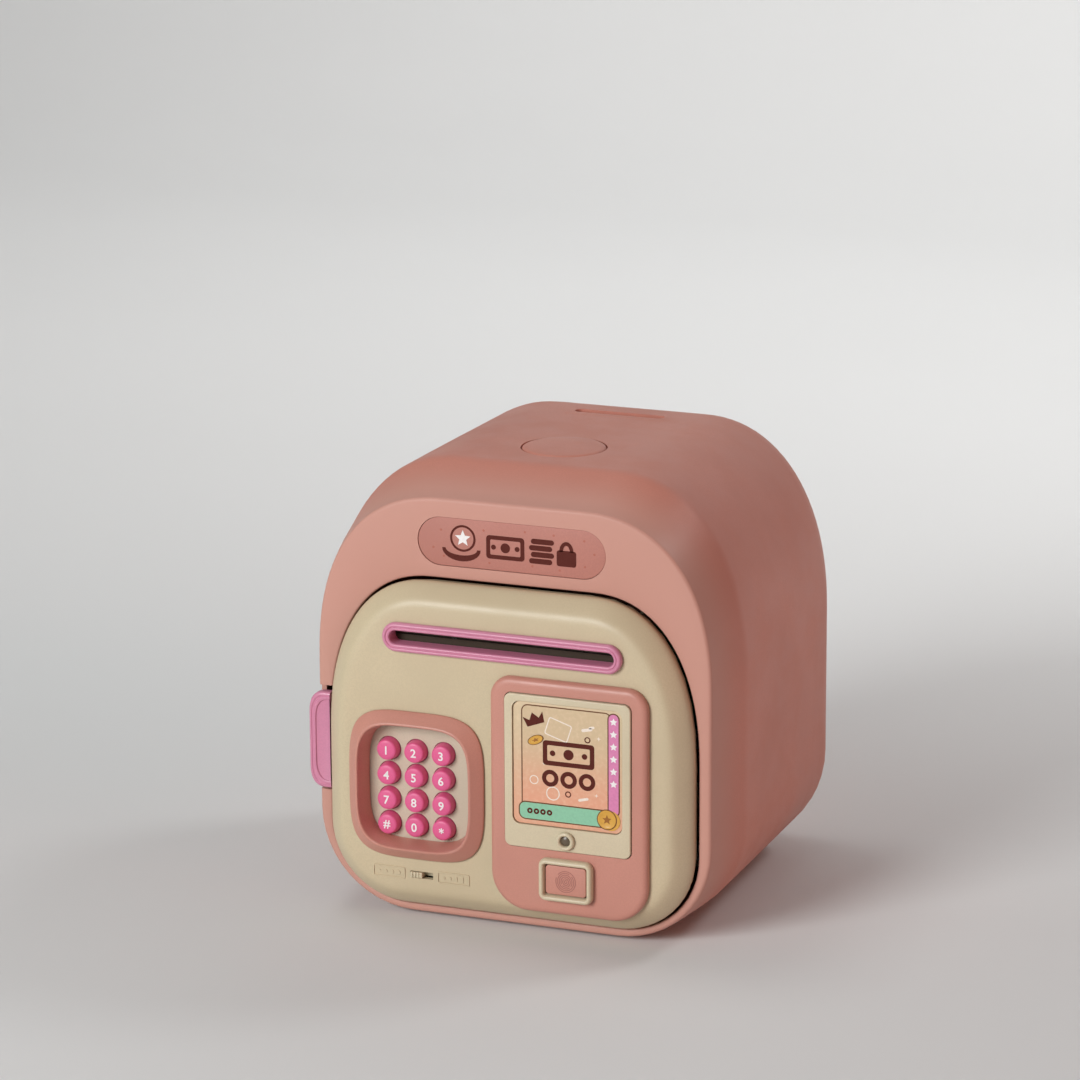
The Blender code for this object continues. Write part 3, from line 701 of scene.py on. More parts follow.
housing_cuts = [
    tower(disc(0, BUTTON_Y, BUTTON_R + HAIRLINE, 72), BODY_TOP - 8, BODY_TOP + 6),
    tower(stadium(0, COIN_Y, *COIN_HALF), BODY_TOP - 8, BODY_TOP + 6),
    ring_cutter(stadium(0, COIN_Y, 23.0, 6.4), stadium(0, COIN_Y, 22.4, 5.8),
                BODY_TOP - 0.75, BODY_TOP + 3),
    block((-90, -69), (-5, 4.2), (TAB_LOW.z - 1.2, TAB_HIGH.z + 2)),
    slab(stadium(0, PLAQUE_Z, PLAQUE_HALF[0] + 0.15, PLAQUE_HALF[1] + 0.15, 16), -3, 1.2),
    block((-33, 33), (BAY_LOW.y - 0.3, BAY_HIGH.y + 0.3), (-3, 4)),
]
shell = piece("housing", skin, "housing", salmon, ["housing_shell"], cuts=housing_cuts)
print("housing:", len(shell.data.polygons), "faces")

# %% [markdown]
# ## The roof button
#
# A round button lies flush in the roof with only a hairline round it. It is turned like a coin
# with a skirt: a very slightly crowned face, a rolled rim and a flange that stops it from
# popping out.

# %% Turn the roof button
BUTTON_BASE, STEM_R, SKIRT_R = 162, 3, 17.3
button_profile = [(0, 4.3), (8, 4.27), (13.6, 4.15), (14.7, 4.0), (15.25, 3.6), (BUTTON_R, 3.0),
                  (BUTTON_R, -0.6), (SKIRT_R, -0.6), (SKIRT_R, -2.0), (STEM_R, -2), (STEM_R, -5),
                  (0, -5)]
piece("roof_button", turned(button_profile, (0, BUTTON_Y, BUTTON_BASE), "Z", 72), "top_button",
      salmon, ["top_button"])
print(f"roof button {2 * BUTTON_R:.0f} mm across, {HAIRLINE} mm clear all round")

# %% [markdown]
# ## The back and the underside
#
# Nobody sees the back on the shelf, but it is where the bank comes apart: a flat cover with
# speaker slots and four screws in counterbores, and below it a battery door held by one screw.

# %% Cover and speaker slots


def back_outline(inset=0.0):
    return housing_outline(1, 26.3 + inset, BACK_DRAFT)


def facing_back(bm):
    """Mirror a shape drawn facing the front, so that its front lies on the back cover."""
    bmesh.ops.scale(bm, vec=(1, -1, 1), verts=bm.verts)
    bmesh.ops.translate(bm, vec=(0, DEPTH, 0), verts=bm.verts)
    return bm


SCREW_SPOTS = [(-44, 36), (44, 36), (-38, 128), (38, 128)]
COUNTERBORE_R, SPEAKER_Z, SLOT_PITCH = 3.4, 110, 5
slots = [slab(stadium(0, SPEAKER_Z + SLOT_PITCH * row, 15 - 2.5 * abs(row), 1.1), DEPTH - 4, DEPTH + 2)
         for row in range(-2, 3)]
counterbores = [slab(disc(x, z, COUNTERBORE_R), DEPTH - 1.0, DEPTH + 2) for x, z in SCREW_SPOTS]
cover = piece("back_cover", facing_back(pad(back_outline, 0, 1.7, 0.5)), "housing",
              salmon, ["rear_cover"], cuts=[joined(slots), joined(counterbores)])
print("back cover:", len(cover.data.polygons), "faces")

# %% [markdown]
# A screw head is turned like the button, and a cross is cut into it. One function makes it for
# any spot, and a rotation turns its head to the back or to the floor.

# %% Cover screws


def screw(spot, facing):
    """A pan-head screw with a cross recess; `facing` turns its head from -Y."""
    profile = [(0, -0.85), (1.4, -0.8), (2.3, -0.5), (2.6, 0.0), (2.6, 0.25), (0, 0.25)]
    head = turned(profile, (0, 0, 0), "Y", 24)
    long, deep, wide = (-1.3, 1.3), (-2, -0.35), (-0.28, 0.28)
    cross = [block(long, deep, wide), block(wide, deep, long)]
    for shape in (head, *cross):
        bmesh.ops.transform(shape, matrix=Matrix.Translation(spot) @ facing, verts=shape.verts)
    return head, cross


BACKWARDS = Matrix.Rotation(math.pi, 4, "Z")
DOWNWARDS = Matrix.Rotation(math.radians(90), 4, "X")
for number, (x, z) in enumerate(SCREW_SPOTS, 1):
    head, cross = screw((x, DEPTH - 0.75, z), BACKWARDS)
    piece(f"cover_screw_{number}", head, "housing", steel, cuts=cross)
print(len(SCREW_SPOTS), "screws in the cover")

# %% [markdown]
# The battery door is a plain lid let into the floor, with three grip lines to push on and one
# screw in a well.

# %% Battery door
GRIP_PITCH, WELL_Y = 2.4, BAY_HIGH.y - 6
grip_spots = [BAY_LOW.y + 6 + GRIP_PITCH * i for i in range(3)]
grip_lines = joined([block((-9, 9), (y - 0.5, y + 0.5), (-2, 0.55)) for y in grip_spots])
well = turned([(0, -2), (COUNTERBORE_R, -2), (COUNTERBORE_R, 1.1), (0, 1.1)], (0, WELL_Y, 0), "Z", 32)
piece("battery_door_lid", block((BAY_LOW.x, BAY_HIGH.x), (BAY_LOW.y, BAY_HIGH.y), (0.2, 2.0), 0.4),
      "housing", salmon, ["battery_door"], cuts=[grip_lines, well])
head, cross = screw((0, WELL_Y, 0.85), DOWNWARDS)
piece("battery_door_screw", head, "housing", steel, cuts=cross)
print(f"battery door {BAY_HIGH.x - BAY_LOW.x:.0f} x {BAY_HIGH.y - BAY_LOW.y:.0f} mm")

# %% [markdown]
# ## The sign plaque
#
# Above the door a shallow stadium-shaped recess takes a printed label. Prints are real shapes a
# few hundredths of a millimetre thick, so they stay crisp however close one looks. An image on
# the label would be quicker and would blur.

# %% Print a shape
PRINT, SUNK = 0.08, 0.05


def print_shape(points, y, thick=PRINT):
    """A flat printed shape on the plane at `y`, sunk a little so that no gap shows."""
    return slab(points, y - thick, y + SUNK)


def print_ring(outer, inner, y, thick=PRINT):
    """A printed line between two outlines."""
    chain = [(outer, y + SUNK), (outer, y - thick), (inner, y - thick), (inner, y + SUNK)]
    return loft(chain, closed=True)


def star(cx, cz, radius, points=5, waist=0.45):
    tips = []
    for i in range(points * 2):
        reach = radius if i % 2 == 0 else radius * waist
        angle = math.pi / 2 + math.pi * i / points
        tips.append((cx + reach * math.cos(angle), cz + reach * math.sin(angle)))
    return tips


def tilted(points, cx, cz, degrees):
    """Points turned about (cx, cz), anticlockwise seen from the front."""
    c, s = math.cos(math.radians(degrees)), math.sin(math.radians(degrees))
    return [(cx + (x - cx) * c - (z - cz) * s, cz + (x - cx) * s + (z - cz) * c) for x, z in points]


print("a star has", len(star(0, 0, 1)), "points")

# %% [markdown]
# The label carries no name, only plain pictures: a coin over a cupped tray, a banknote, a stack
# of coins and a padlock. Each is a few discs, bars and arcs, drawn by a function so that the card
# on the door can use the note again.

# %% Draw the little pictures


def banknote(cx, cz, half_x, half_z, line, y):
    """An outlined note with a solid seal and two dots."""
    outer = rounded(cx, cz, half_x, half_z, 1.2, 4)
    inner = rounded(cx, cz, half_x - line, half_z - line, 0.5, 4)
    shapes = [print_ring(outer, inner, y)]
    shapes.append(print_shape(disc(cx, cz, half_z * 0.42), y))
    for side in (-1, 1):
        shapes.append(print_shape(disc(cx + side * half_x * 0.62, cz, line * 0.62, 16), y))
    return shapes


def coin_stack(cx, cz, half_x, rows, pitch, y):
    return [print_shape(stadium(cx + (0.7 if row % 2 else 0), cz + (row - (rows - 1) / 2) * pitch,
                                half_x, pitch * 0.4, 6), y) for row in range(rows)]


def arc(cx, cz, rx, rz, degrees):
    """Points of an oval at the given angles."""
    return [(cx + rx * math.cos(math.radians(a)), cz + rz * math.sin(math.radians(a)))
            for a in degrees]


def padlock(cx, cz, half, line, y):
    """A solid lock body under a shackle."""
    shackle = arc(cx, cz + 0.6, half - 1, half, range(0, 181, 12))
    shackle += arc(cx, cz + 0.6, half - 1 - line, half - line, range(180, -1, -12))
    return [print_shape(shackle, y), print_shape(rounded(cx, cz - 1.9, half, 2.9, 0.9, 4), y)]


def cup(cx, cz, half, line):
    """A shallow cupped tray, drawn as a crescent."""
    under = arc(cx, cz, half, half * 0.62, range(180, 361, 12))
    return under + arc(cx, cz, half - line * 0.6, half * 0.62 - line, range(360, 179, -12))


print("a cupped tray has", len(cup(0, 0, 7.4, 2.2)), "points")

# %% [markdown]
# The pictures stand in one row on the label, and pale red flecks are scattered round them. Inks of
# one colour are one piece, because they would be printed in one pass.

# %% Print the plaque
PLAQUE_Y = PLAQUE_LOW.y


def plaque_outline(inset=0.0):
    return stadium(0, PLAQUE_Z, PLAQUE_HALF[0] - inset, PLAQUE_HALF[1] - inset, 16)


piece("plaque", pad(plaque_outline, PLAQUE_Y, PLAQUE_HIGH.y, 0.12), "housing",
      plaque_print, ["sign_plaque"])
coin_x, coin_z = -18.6, PLAQUE_Z + 1.7
pictures = [print_ring(disc(coin_x, coin_z, 4.9, 40), disc(coin_x, coin_z, 4.1, 40), PLAQUE_Y),
            print_shape(cup(coin_x - 0.6, PLAQUE_Z - 2.2, 7.4, 2.2), PLAQUE_Y)]
pictures += banknote(-2.3, PLAQUE_Z - 0.4, 7.3, 4.3, 1.5, PLAQUE_Y)
pictures += coin_stack(11.2, PLAQUE_Z - 0.4, 4.4, 4, 2.4, PLAQUE_Y)
pictures += padlock(21.0, PLAQUE_Z - 0.2, 3.7, 1.4, PLAQUE_Y)
piece("plaque_pictures", joined(pictures), "housing", brown_ink)
piece("plaque_star", print_shape(star(coin_x, coin_z, 3.1), PLAQUE_Y), "housing",
      white_ink)
flecks = [(-30, -2.5), (-27, 4.2), (-10.6, 5.4), (-8.4, -6.4), (5.2, 6.2), (8.0, -6.0), (27.8, 5.0),
          (28.0, -4.4), (31.6, 0.4), (16.2, 6.0), (-26.0, -5.4), (18.4, -6.6)]
piece("plaque_flecks", joined([print_shape(disc(x, PLAQUE_Z + z, 0.45, 12), PLAQUE_Y, 0.03)
                               for x, z in flecks]), "housing", fleck_ink)
print(len(flecks), "flecks round", len(pictures), "printed shapes")

# %% [markdown]
# ## The door
#
# The door fills the ring like a shallow cushion. Its rim leaves the gap upright, slopes inwards
# at about 45 degrees and turns softly into the flat face; that last turn is what catches a long
# pale highlight along the top. It is lofted like the housing, then cut for the keypad, the note
# slot and the little switch.

# %% Loft the door
KEYPAD_X, KEYPAD_Z = middle("keypad_frame")
keypad_high = cad("keypad_frame")[1]
KEYPAD_HALF_X, KEYPAD_HALF_Z = keypad_high.x - KEYPAD_X, keypad_high.z - KEYPAD_Z
SLOT_Z = middle("note_slot_bezel")[1]
SWITCH_X, SWITCH_Z = -32.1, 17.5


def squircle(inset, steps=30):
    """The keypad's outline: four superellipse quarters, so that every side bows outwards."""
    points = []
    half_x, half_z = KEYPAD_HALF_X - inset, KEYPAD_HALF_Z - inset
    for start in (270, 0, 90, 180):
        points += corner(KEYPAD_X, KEYPAD_Z, half_x, half_z, start, 4.0, steps)[:-1]
    return points


def door_skin():
    rim = [(0.25, -0.3), (0.0, -0.8), (0.0, -1.8), (0.2, -2.6), (0.75, -3.5), (1.6, -4.5), (2.7, -5.6),
           (3.8, -6.65), (4.8, -7.5), (5.6, -8.1), (6.5, -8.55), (7.5, -8.83), (8.6, -8.96),
           (9.8, DOOR_FACE)]
    inner = [(11.0, DOOR_FACE + WALL), (6.4, -6.2), (3.4, -4.2), (2.3, -2.4), (2.3, -0.3)]
    return loft([(door_outline(inset), y) for inset, y in inner + rim])


NEAR, FAR = DOOR_FACE - 3, 1.0
door_cuts = [slab(stadium(0, SLOT_Z, 44, 4), NEAR, FAR), slab(squircle(2.2), NEAR, FAR),
             slab(rounded(SWITCH_X, SWITCH_Z, 4.5, 1.3, 0.4, 3), NEAR, FAR)]
door_piece = piece("door", door_skin(), "door", cream, ["door_shell"], cuts=door_cuts)
print("door:", len(door_piece.data.polygons), "faces")

# %% [markdown]
# ## The note slot
#
# A pink bezel frames the slot. It has a rolled outer bead, a fine groove and an inner bead, each
# a station of the loft. Behind it two flaps leave a slit for the note. They are near-black, painted
# shade standing for the dark inside of the door, which is why the slot reads as nearly black.

# %% Note slot bezel
bezel_rings = [(0.0, -9.3), (0.0, -10.2), (0.2, -10.8), (0.6, -11.2), (1.1, -11.3), (1.4, -11.15),
               (1.55, -10.85), (1.75, -10.85), (1.9, -11.1), (2.2, -11.2), (2.55, -11.1), (2.8, -10.8),
               (2.9, -10.3), (2.9, -5.0), (1.9, -5.0), (1.9, -9.3)]
slot_high = cad("note_slot_bezel")[1]
SLOT_HALF_X, SLOT_HALF_Z = slot_high.x, slot_high.z - SLOT_Z
piece("slot_bezel", loft([(stadium(0, SLOT_Z, SLOT_HALF_X - i, SLOT_HALF_Z - i, 14), y)
                          for i, y in bezel_rings], closed=True),
      "door", candy, ["note_slot_bezel"])
# The flaps' near-black colour is painted shade for the unlit inside behind the slot.
FLAP_SPAN, FLAP_DEPTH, SLIT = (-43, 43), (-4.6, -3.9), 0.25
flaps = [block(FLAP_SPAN, FLAP_DEPTH, (SLOT_Z + SLIT, SLOT_Z + 3.8)),
         block(FLAP_SPAN, FLAP_DEPTH, (SLOT_Z - 3.8, SLOT_Z - SLIT))]
piece("slot_shade_flaps", joined(flaps), "door", slot_shade_dark)
print(f"note slot bezel {2 * SLOT_HALF_X:.1f} x {2 * SLOT_HALF_Z:.1f} mm, slit {2 * SLIT} mm")

# %% [markdown]
# ## The keypad
#
# A salmon surround stands proud of the door. Its outside is a broad slope, its crest a thin lip
# that catches the light, and its inner walls drop steeply to a floor that is pierced for the keys.
# The floor is a greyer copy of the cream, painted shade for its recess. Only the lip is rounded: a
# fat round bead would look inflated.

# %% Surround and floor
surround = [(0.0, -9.3), (0.0, -9.75), (0.12, -10.0), (0.35, -10.25), (1.8, -11.6), (3.2, -12.85),
            (3.55, -13.2), (3.8, -13.45), (4.15, -13.6), (4.5, -13.55), (4.72, -13.3), (4.85, -12.8),
            (5.5, -9.2), (6.1, -5.6), (6.1, -5.3), (2.5, -5.3), (2.5, -9.3)]
piece("keypad_surround", loft([(squircle(i), y) for i, y in surround], closed=True), "door",
      panel_salmon, ["keypad_frame"])
KEY_NAMES = ("1", "2", "3", "4", "5", "6", "7", "8", "9", "hash", "0", "star")
KEY_R, KEY_GAP = 4.2, 0.25
key_holes = [slab(disc(*middle(f"key_{name}"), KEY_R + KEY_GAP, 40), -9, 0) for name in KEY_NAMES]


def floor_outline(inset=0.0):
    return squircle(2.6 + inset)


piece("keypad_floor", pad(floor_outline, -5.0, -3.6, 0.1), "door", recess_shade_cream,
      ["keypad_plate"], cuts=[joined(key_holes)])
print(f"keypad {2 * KEYPAD_HALF_X:.1f} x {2 * KEYPAD_HALF_Z:.1f} mm with", len(key_holes), "holes")

# %% [markdown]
# Each key is turned with a slightly domed face, a tight rolled edge and a flared side, so the
# face reads as a lighter disc in front of a darker skirt. The digits are the one lettering a
# keypad cannot do without: text curves, made into a mesh, then laid on the face.

# %% Draw a key and a sign
KEY_FACE = cad("key_1")[0].y
FLANGE_R, PLUNGER_R = 4.6, 1.8
key_profile = [(0, KEY_FACE), (1.5, KEY_FACE + 0.03), (2.6, KEY_FACE + 0.11), (3.15, KEY_FACE + 0.2),
               (3.5, KEY_FACE + 0.36), (3.72, KEY_FACE + 0.62), (3.84, KEY_FACE + 1.0),
               (KEY_R, -5.2), (KEY_R, -3.3), (FLANGE_R, -3.3), (FLANGE_R, -2.3), (PLUNGER_R, -2.3),
               (PLUNGER_R, -1.0), (0, -1.0)]


def raised_sign(text, size, cx, cz, y):
    """A raised sign of the built-in font, centred on (cx, cz) and facing the front."""
    curve = bpy.data.curves.new("sign", "FONT")
    curve.body = text
    curve.size = size
    curve.offset = size * 0.018
    curve.extrude = 0.06
    holder = bpy.data.objects.new("sign", curve)
    bpy.context.collection.objects.link(holder)
    depsgraph = bpy.context.evaluated_depsgraph_get()
    flat = bpy.data.meshes.new_from_object(holder.evaluated_get(depsgraph))
    bpy.data.objects.remove(holder)
    bm = bmesh.new()
    bm.from_mesh(flat)
    bpy.data.meshes.remove(flat)
    xs, ys = [v.co.x for v in bm.verts], [v.co.y for v in bm.verts]
    centre = ((min(xs) + max(xs)) / 2, (min(ys) + max(ys)) / 2, 0)
    bmesh.ops.translate(bm, vec=(-centre[0], -centre[1], 0), verts=bm.verts)
    bmesh.ops.rotate(bm, matrix=Matrix.Rotation(math.radians(90), 3, "X"), verts=bm.verts)
    bmesh.ops.translate(bm, vec=(cx, y, cz), verts=bm.verts)
    return bm


print(f"a key is {2 * KEY_R} mm across and stands out to {KEY_FACE:.1f} mm")

# %% [markdown]
# Twelve keys are one loop over their names. Each key and its sign ride on that key's own body, so
# a pressed key takes its digit along.

# %% Make the keys
SIGNS, SIGN_SIZE = {"hash": "#", "star": "*"}, 4.4
for name in KEY_NAMES:
    x, z = middle(f"key_{name}")
    body = f"key_{name}"
    piece(f"keycap_{name}", turned(key_profile, (x, 0, z), "Y", 40), body, hot_pink, [body])
    sign = raised_sign(SIGNS.get(name, name), SIGN_SIZE, x, z, KEY_FACE + 0.02)
    piece(f"keycap_sign_{name}", sign, body, white_ink)
print(len(KEY_NAMES), "keys")

# %% [markdown]
# ## The screen panel
#
# The right-hand panel is a thin raised moulding with a rolled edge. A cream bezel drops into its
# pocket, with a hairline shadow all round.

# %% Panel and bezel
PANEL_LOW, PANEL_HIGH = cad("display_panel")
BEZEL_LOW, BEZEL_HIGH = cad("screen_bezel")
CARD_LOW, CARD_HIGH = cad("screen_card")
PAD_X, PAD_Z = middle("fingerprint_pad")


def panel_outline(inset=0.0):
    left, right = PANEL_LOW.x + inset, PANEL_HIGH.x - inset
    low, top = PANEL_LOW.z + inset, PANEL_HIGH.z - inset
    low_r, top_r = 14.0 - inset, 8.0 - inset
    points = corner(right - low_r, low + low_r, low_r, low_r, 270, steps=12)
    points += corner(right - top_r, top - top_r, top_r, top_r, 0, steps=12)
    points += corner(left + top_r, top - top_r, top_r, top_r, 90, steps=12)
    points += corner(left + low_r, low + low_r, low_r, low_r, 180, steps=12)
    return points


panel_rings = [(0.0, -9.3), (0.0, -10.0), (0.15, -10.7), (0.55, -11.3), (1.2, -11.75), (2.0, -11.95),
               (2.8, PANEL_LOW.y)]
panel_cuts = [slab(box_outline(BEZEL_LOW, BEZEL_HIGH, 2.9, 0.3)(), -15, -10.4),
              slab(rounded(PAD_X, PAD_Z, 8.2, 5.8, 1.5), -15, -8)]
piece("screen_panel", loft([(panel_outline(i), y) for i, y in panel_rings]), "door",
      panel_salmon, ["display_panel"], cuts=panel_cuts)
window = box_outline(CARD_LOW, CARD_HIGH, 3.0, 0.25)
piece("screen_surround", pad(box_outline(BEZEL_LOW, BEZEL_HIGH, 2.6), BEZEL_LOW.y, BEZEL_HIGH.y, 0.45),
      "door", pale_cream, ["screen_bezel"], cuts=[slab(window(), -15, -8)])
print(f"panel {PANEL_HIGH.x - PANEL_LOW.x:.1f} x {PANEL_HIGH.z - PANEL_LOW.z:.1f} mm")

# %% [markdown]
# ## The printed card
#
# The card runs from warm cream at the top to peach at the bottom. An image could hold the fade,
# but a ramp on the height of the surface stays smooth at any size.

# %% The fading card


def fading(name, low_z, high_z, low_colour, high_colour):
    """A print that fades from one colour at low_z to another at high_z."""
    paint = Paint(name, 0.42)
    rise = paint.height(2).between(low_z * MM + housing_low.z, high_z * MM + housing_low.z)
    mottle = paint.noise(0.0016, 3.0)
    tone = paint.blend(rise, low_colour, high_colour)
    paint.feed("Base Color", paint.blend(mottle.between(0.4, 0.9) * 0.35, tone, (0.86, 0.66, 0.46)))
    paint.feed("Roughness", mottle * 0.1 + 0.36)
    return paint.material


card_fade = fading("card_fade", 44, 84, (0.740, 0.385, 0.250), (0.640, 0.500, 0.320))
field_fade = fading("field_fade", 50, 80, (0.740, 0.350, 0.225), (0.610, 0.465, 0.290))
CARD_Y = CARD_LOW.y
piece("card", pad(box_outline(CARD_LOW, CARD_HIGH, 2.7), CARD_Y, CARD_HIGH.y, 0.15), "door",
      card_fade, ["screen_card"])
print(f"card {CARD_HIGH.x - CARD_LOW.x:.1f} x {CARD_HIGH.z - CARD_LOW.z:.1f} mm")

# %% [markdown]
# On the card lie a framed panel, a pink strip of stars and a mint bar. They overlap, so each is a
# few hundredths of a millimetre thicker than the one beneath, and a brown line runs round each.

# %% Field, strip and bar
FIELD = (25.6, 68.0, 17.2, 19.8)
STRIP = (43.5, 68.6, 2.3, 19.2)
BAR = (25.9, 48.3, 18.6, 3.4)
LINE, LAP = 0.42, 0.3


def label_shape(place, inset, radius):
    """A rounded rectangle pulled in from a place on the card."""
    cx, cz, half_x, half_z = place
    return rounded(cx, cz, half_x - inset, half_z - inset, radius)


outlines = []
for place, thick in ((FIELD, 0.08), (STRIP, 0.13), (BAR, 0.18)):
    reach = min(*place[2:], 2.6) - 0.01
    outlines.append(print_ring(label_shape(place, 0, reach), label_shape(place, LINE, reach - LINE),
                               CARD_Y, thick))
piece("card_lines", joined(outlines), "door", line_ink)
for name, place, radius, thick, finish in (("card_field", FIELD, 2.3, 0.04, field_fade),
                                           ("card_strip", STRIP, 1.8, 0.12, strip_ink),
                                           ("card_bar", BAR, 2.3, 0.16, mint_ink)):
    piece(name, print_shape(label_shape(place, LAP, radius), CARD_Y, thick), "door",
          finish)
STAR_TOP, STAR_PITCH = 84.6, 4.6
stars = [print_shape(star(STRIP[0], STAR_TOP - STAR_PITCH * i, 1.45, waist=0.5), CARD_Y - 0.1, 0.08)
         for i in range(6)]
piece("card_stars", joined(stars), "door", white_ink)
print(len(stars), "stars on the strip")

# %% [markdown]
# The words of a real card are left out, and plain pictures stand in their places: a crown in the
# corner, a note over three coins in the middle, and four small rings on the bar.

# %% Crown, note and rings
CROWN_X, CROWN_Z, CROWN_TURN = 13.4, 82.4, 20
crown = [(-3.4, -1.9), (3.4, -1.9), (4.0, 2.0), (1.9, 0.2), (0, 2.7), (-1.9, 0.2), (-4.0, 2.0)]
crown = tilted([(CROWN_X + x, CROWN_Z + z) for x, z in crown], CROWN_X, CROWN_Z, CROWN_TURN)


def hoop(cx, cz, outer, inner, y, thick):
    """A round printed ring."""
    steps = 32 if outer > 1.2 else 24
    return print_ring(disc(cx, cz, outer, steps), disc(cx, cz, inner, steps), y, thick)


marks = [print_shape(crown, CARD_Y, 0.1)]
marks += banknote(26.4, 70.6, 9.8, 4.6, 1.7, CARD_Y)
marks += [hoop(x, 61.2, 3.15, 1.55, CARD_Y, 0.1) for x in (19.4, 26.4, 33.4)]
marks += [hoop(11.6 + 2.5 * i, BAR[1], 1.05, 0.4, CARD_Y - 0.12, 0.12) for i in range(4)]
marks += [hoop(x, z, 1.15, 0.75, CARD_Y, 0.1) for x, z in ((33.6, 76.9), (26.2, 55.9))]
piece("card_marks", joined(marks), "door", brown_ink)
print(len(marks), "brown marks")

# %% [markdown]
# Behind them the card has a faint second layer: a tilted note, rings, glints and sparkles in a
# paler ink. It is thinner than the marks, so the marks always win where the two cross.

# %% Pale sparkles
FAINT = 0.07
NOTE_X, NOTE_Z, NOTE_TURN = 22.5, 79.5, -18
note = [tilted(rounded(NOTE_X, NOTE_Z, half_x, half_z, radius, 4), NOTE_X, NOTE_Z, NOTE_TURN)
        for half_x, half_z, radius in ((4.6, 3.4, 0.8), (4.2, 3.0, 0.5))]
ghosts = [print_ring(*note, CARD_Y, FAINT)]
ghosts += [hoop(13.2, 60.0, 1.7, 1.35, CARD_Y, FAINT), hoop(20.4, 55.6, 2.6, 2.2, CARD_Y, FAINT)]
for x, z, half_x, half_z, turn in ((33.4, 80.6, 2.1, 0.55, 12), (35.2, 81.6, 1.1, 0.45, 12),
                                   (32.0, 54.6, 2.0, 0.5, 14)):
    ghosts.append(print_shape(tilted(stadium(x, z, half_x, half_z, 5), x, z, turn), CARD_Y, FAINT))
ghosts += [print_shape(star(x, z, radius, 4, 0.3), CARD_Y, FAINT)
           for x, z, radius in ((37.9, 77.8, 0.9), (37.0, 56.6, 0.8), (17.0, 66.4, 0.7))]
piece("card_sparkles", joined(ghosts), "door", pale_ink)
print(len(ghosts), "pale shapes")

# %% [markdown]
# The gold coins stand a little prouder than flat ink, with a rim and a sunk face, so they catch
# the light as embossed foil does. One leans back: its circle is squeezed to an oval and turned.

# %% Gold coins


def gold_coin(name, cx, cz, radius, squeeze=1.0, turn=0.0):
    """A raised gold coin with a rim and a star; `squeeze` shows it leaning back."""
    y = CARD_Y - 0.12

    def leaning(points):
        return tilted([(cx + x, cz + z * squeeze) for x, z in points], cx, cz, turn)

    def oval(r):
        return leaning(disc(0, 0, r, 40))

    rings = [(radius, y + 0.15), (radius, y - 0.15), (radius - 0.15, y - 0.28), (radius * 0.84, y - 0.28),
             (radius * 0.78, y - 0.16), (radius * 0.3, y - 0.16)]
    piece(name, loft([(oval(r), place) for r, place in rings]), "door", gold_ink)
    edge = print_ring(oval(radius + 0.32), oval(radius - 0.02), y, 0.1)
    piece(f"{name}_edge", edge, "door", line_ink)
    emblem = leaning(star(0, 0, radius * 0.52))
    piece(f"{name}_star", print_shape(emblem, y - 0.16, 0.06), "door", amber_ink)


piece("coin_behind", print_shape(disc(42.3, 47.9, 3.7, 40), CARD_Y - 0.14, 0.06), "door",
      gold_ink)
gold_coin("coin_on_bar", 41.0, 48.2, 3.5)
gold_coin("leaning_coin", 13.9, 74.9, 2.9, 0.52, 24)

# %% [markdown]
# ## The lamp and the fingerprint pad
#
# Under the card sits a small turned ring with a smoky domed lens. Both are spun from a section.

# %% Lamp ring and lens
LAMP_X, LAMP_Z = middle("lamp_ring")
lamp_spot = (LAMP_X, cad("lamp_ring")[1].y, LAMP_Z)
lens_profile = [(0, -0.55), (0.9, -0.45), (1.5, -0.2), (1.85, 0.0), (0, 0.0)]
lamp_profile = [(3.5, 0.0), (3.5, -0.5), (3.3, -0.95), (2.95, -1.25), (2.55, -1.3), (2.2, -1.1),
                (1.95, -0.7), (1.9, 0.0)]
piece("lamp_bead", turned(lamp_profile, lamp_spot, "Y", 48, closed=True), "door",
      pale_cream, ["lamp_ring"])
piece("lamp_glass", turned(lens_profile, lamp_spot, "Y", 32), "door", smoke,
      ["lamp_lens"])
print("lamp at", [round(v, 1) for v in lamp_spot])

# %% [markdown]
# Below it a cream frame holds the pad that a child presses. Its whorl is a set of raised, broken
# ovals, each a thin strip between two arcs. A bump pattern would be lighter, but these ridges
# stand up like a real moulded print. They are darker than the pad: painted shade for the
# lines of the print.

# %% Fingerprint frame, pad and whorl
PAD_LOW, PAD_HIGH = cad("fingerprint_pad")
frame_rings = [(0.0, -12.3), (0.0, -13.7), (0.2, -14.3), (0.6, -14.8), (1.1, -15.0), (1.5, -14.9),
               (1.8, -14.6), (1.95, -14.1), (2.2, -12.3)]
FRAME_LOW, FRAME_HIGH = cad("fingerprint_frame")
frame_outline = box_outline(FRAME_LOW, FRAME_HIGH, 2.8)
piece("print_frame", loft([(frame_outline(i), y) for i, y in frame_rings], closed=True), "door",
      pale_cream, ["fingerprint_frame"])
piece("print_pad", pad(box_outline(PAD_LOW, PAD_HIGH, 1.2), PAD_LOW.y, PAD_HIGH.y, 0.3),
      "fingerprint_pad", panel_salmon, ["fingerprint_pad"])


def ridge(rx, rz, start, sweep=340, width=0.30, steps=40):
    """A raised line along most of an oval on the pad, broken at `start`."""
    angles = [start + sweep * i / steps for i in range(steps + 1)]
    outer = arc(PAD_X, PAD_Z - 0.2, rx + width / 2, rz + width / 2, angles)
    inner = arc(PAD_X, PAD_Z - 0.2, rx - width / 2, rz - width / 2, reversed(angles))
    return print_shape(outer + inner, PAD_LOW.y, 0.06)


whorl = [ridge(0.45 + 0.66 * i, 0.55 + 0.68 * i, 35 + 97 * i) for i in range(6)]
piece("print_whorl", joined(whorl), "fingerprint_pad", whorl_shade_tone)
print(len(whorl), "ridges in the whorl")

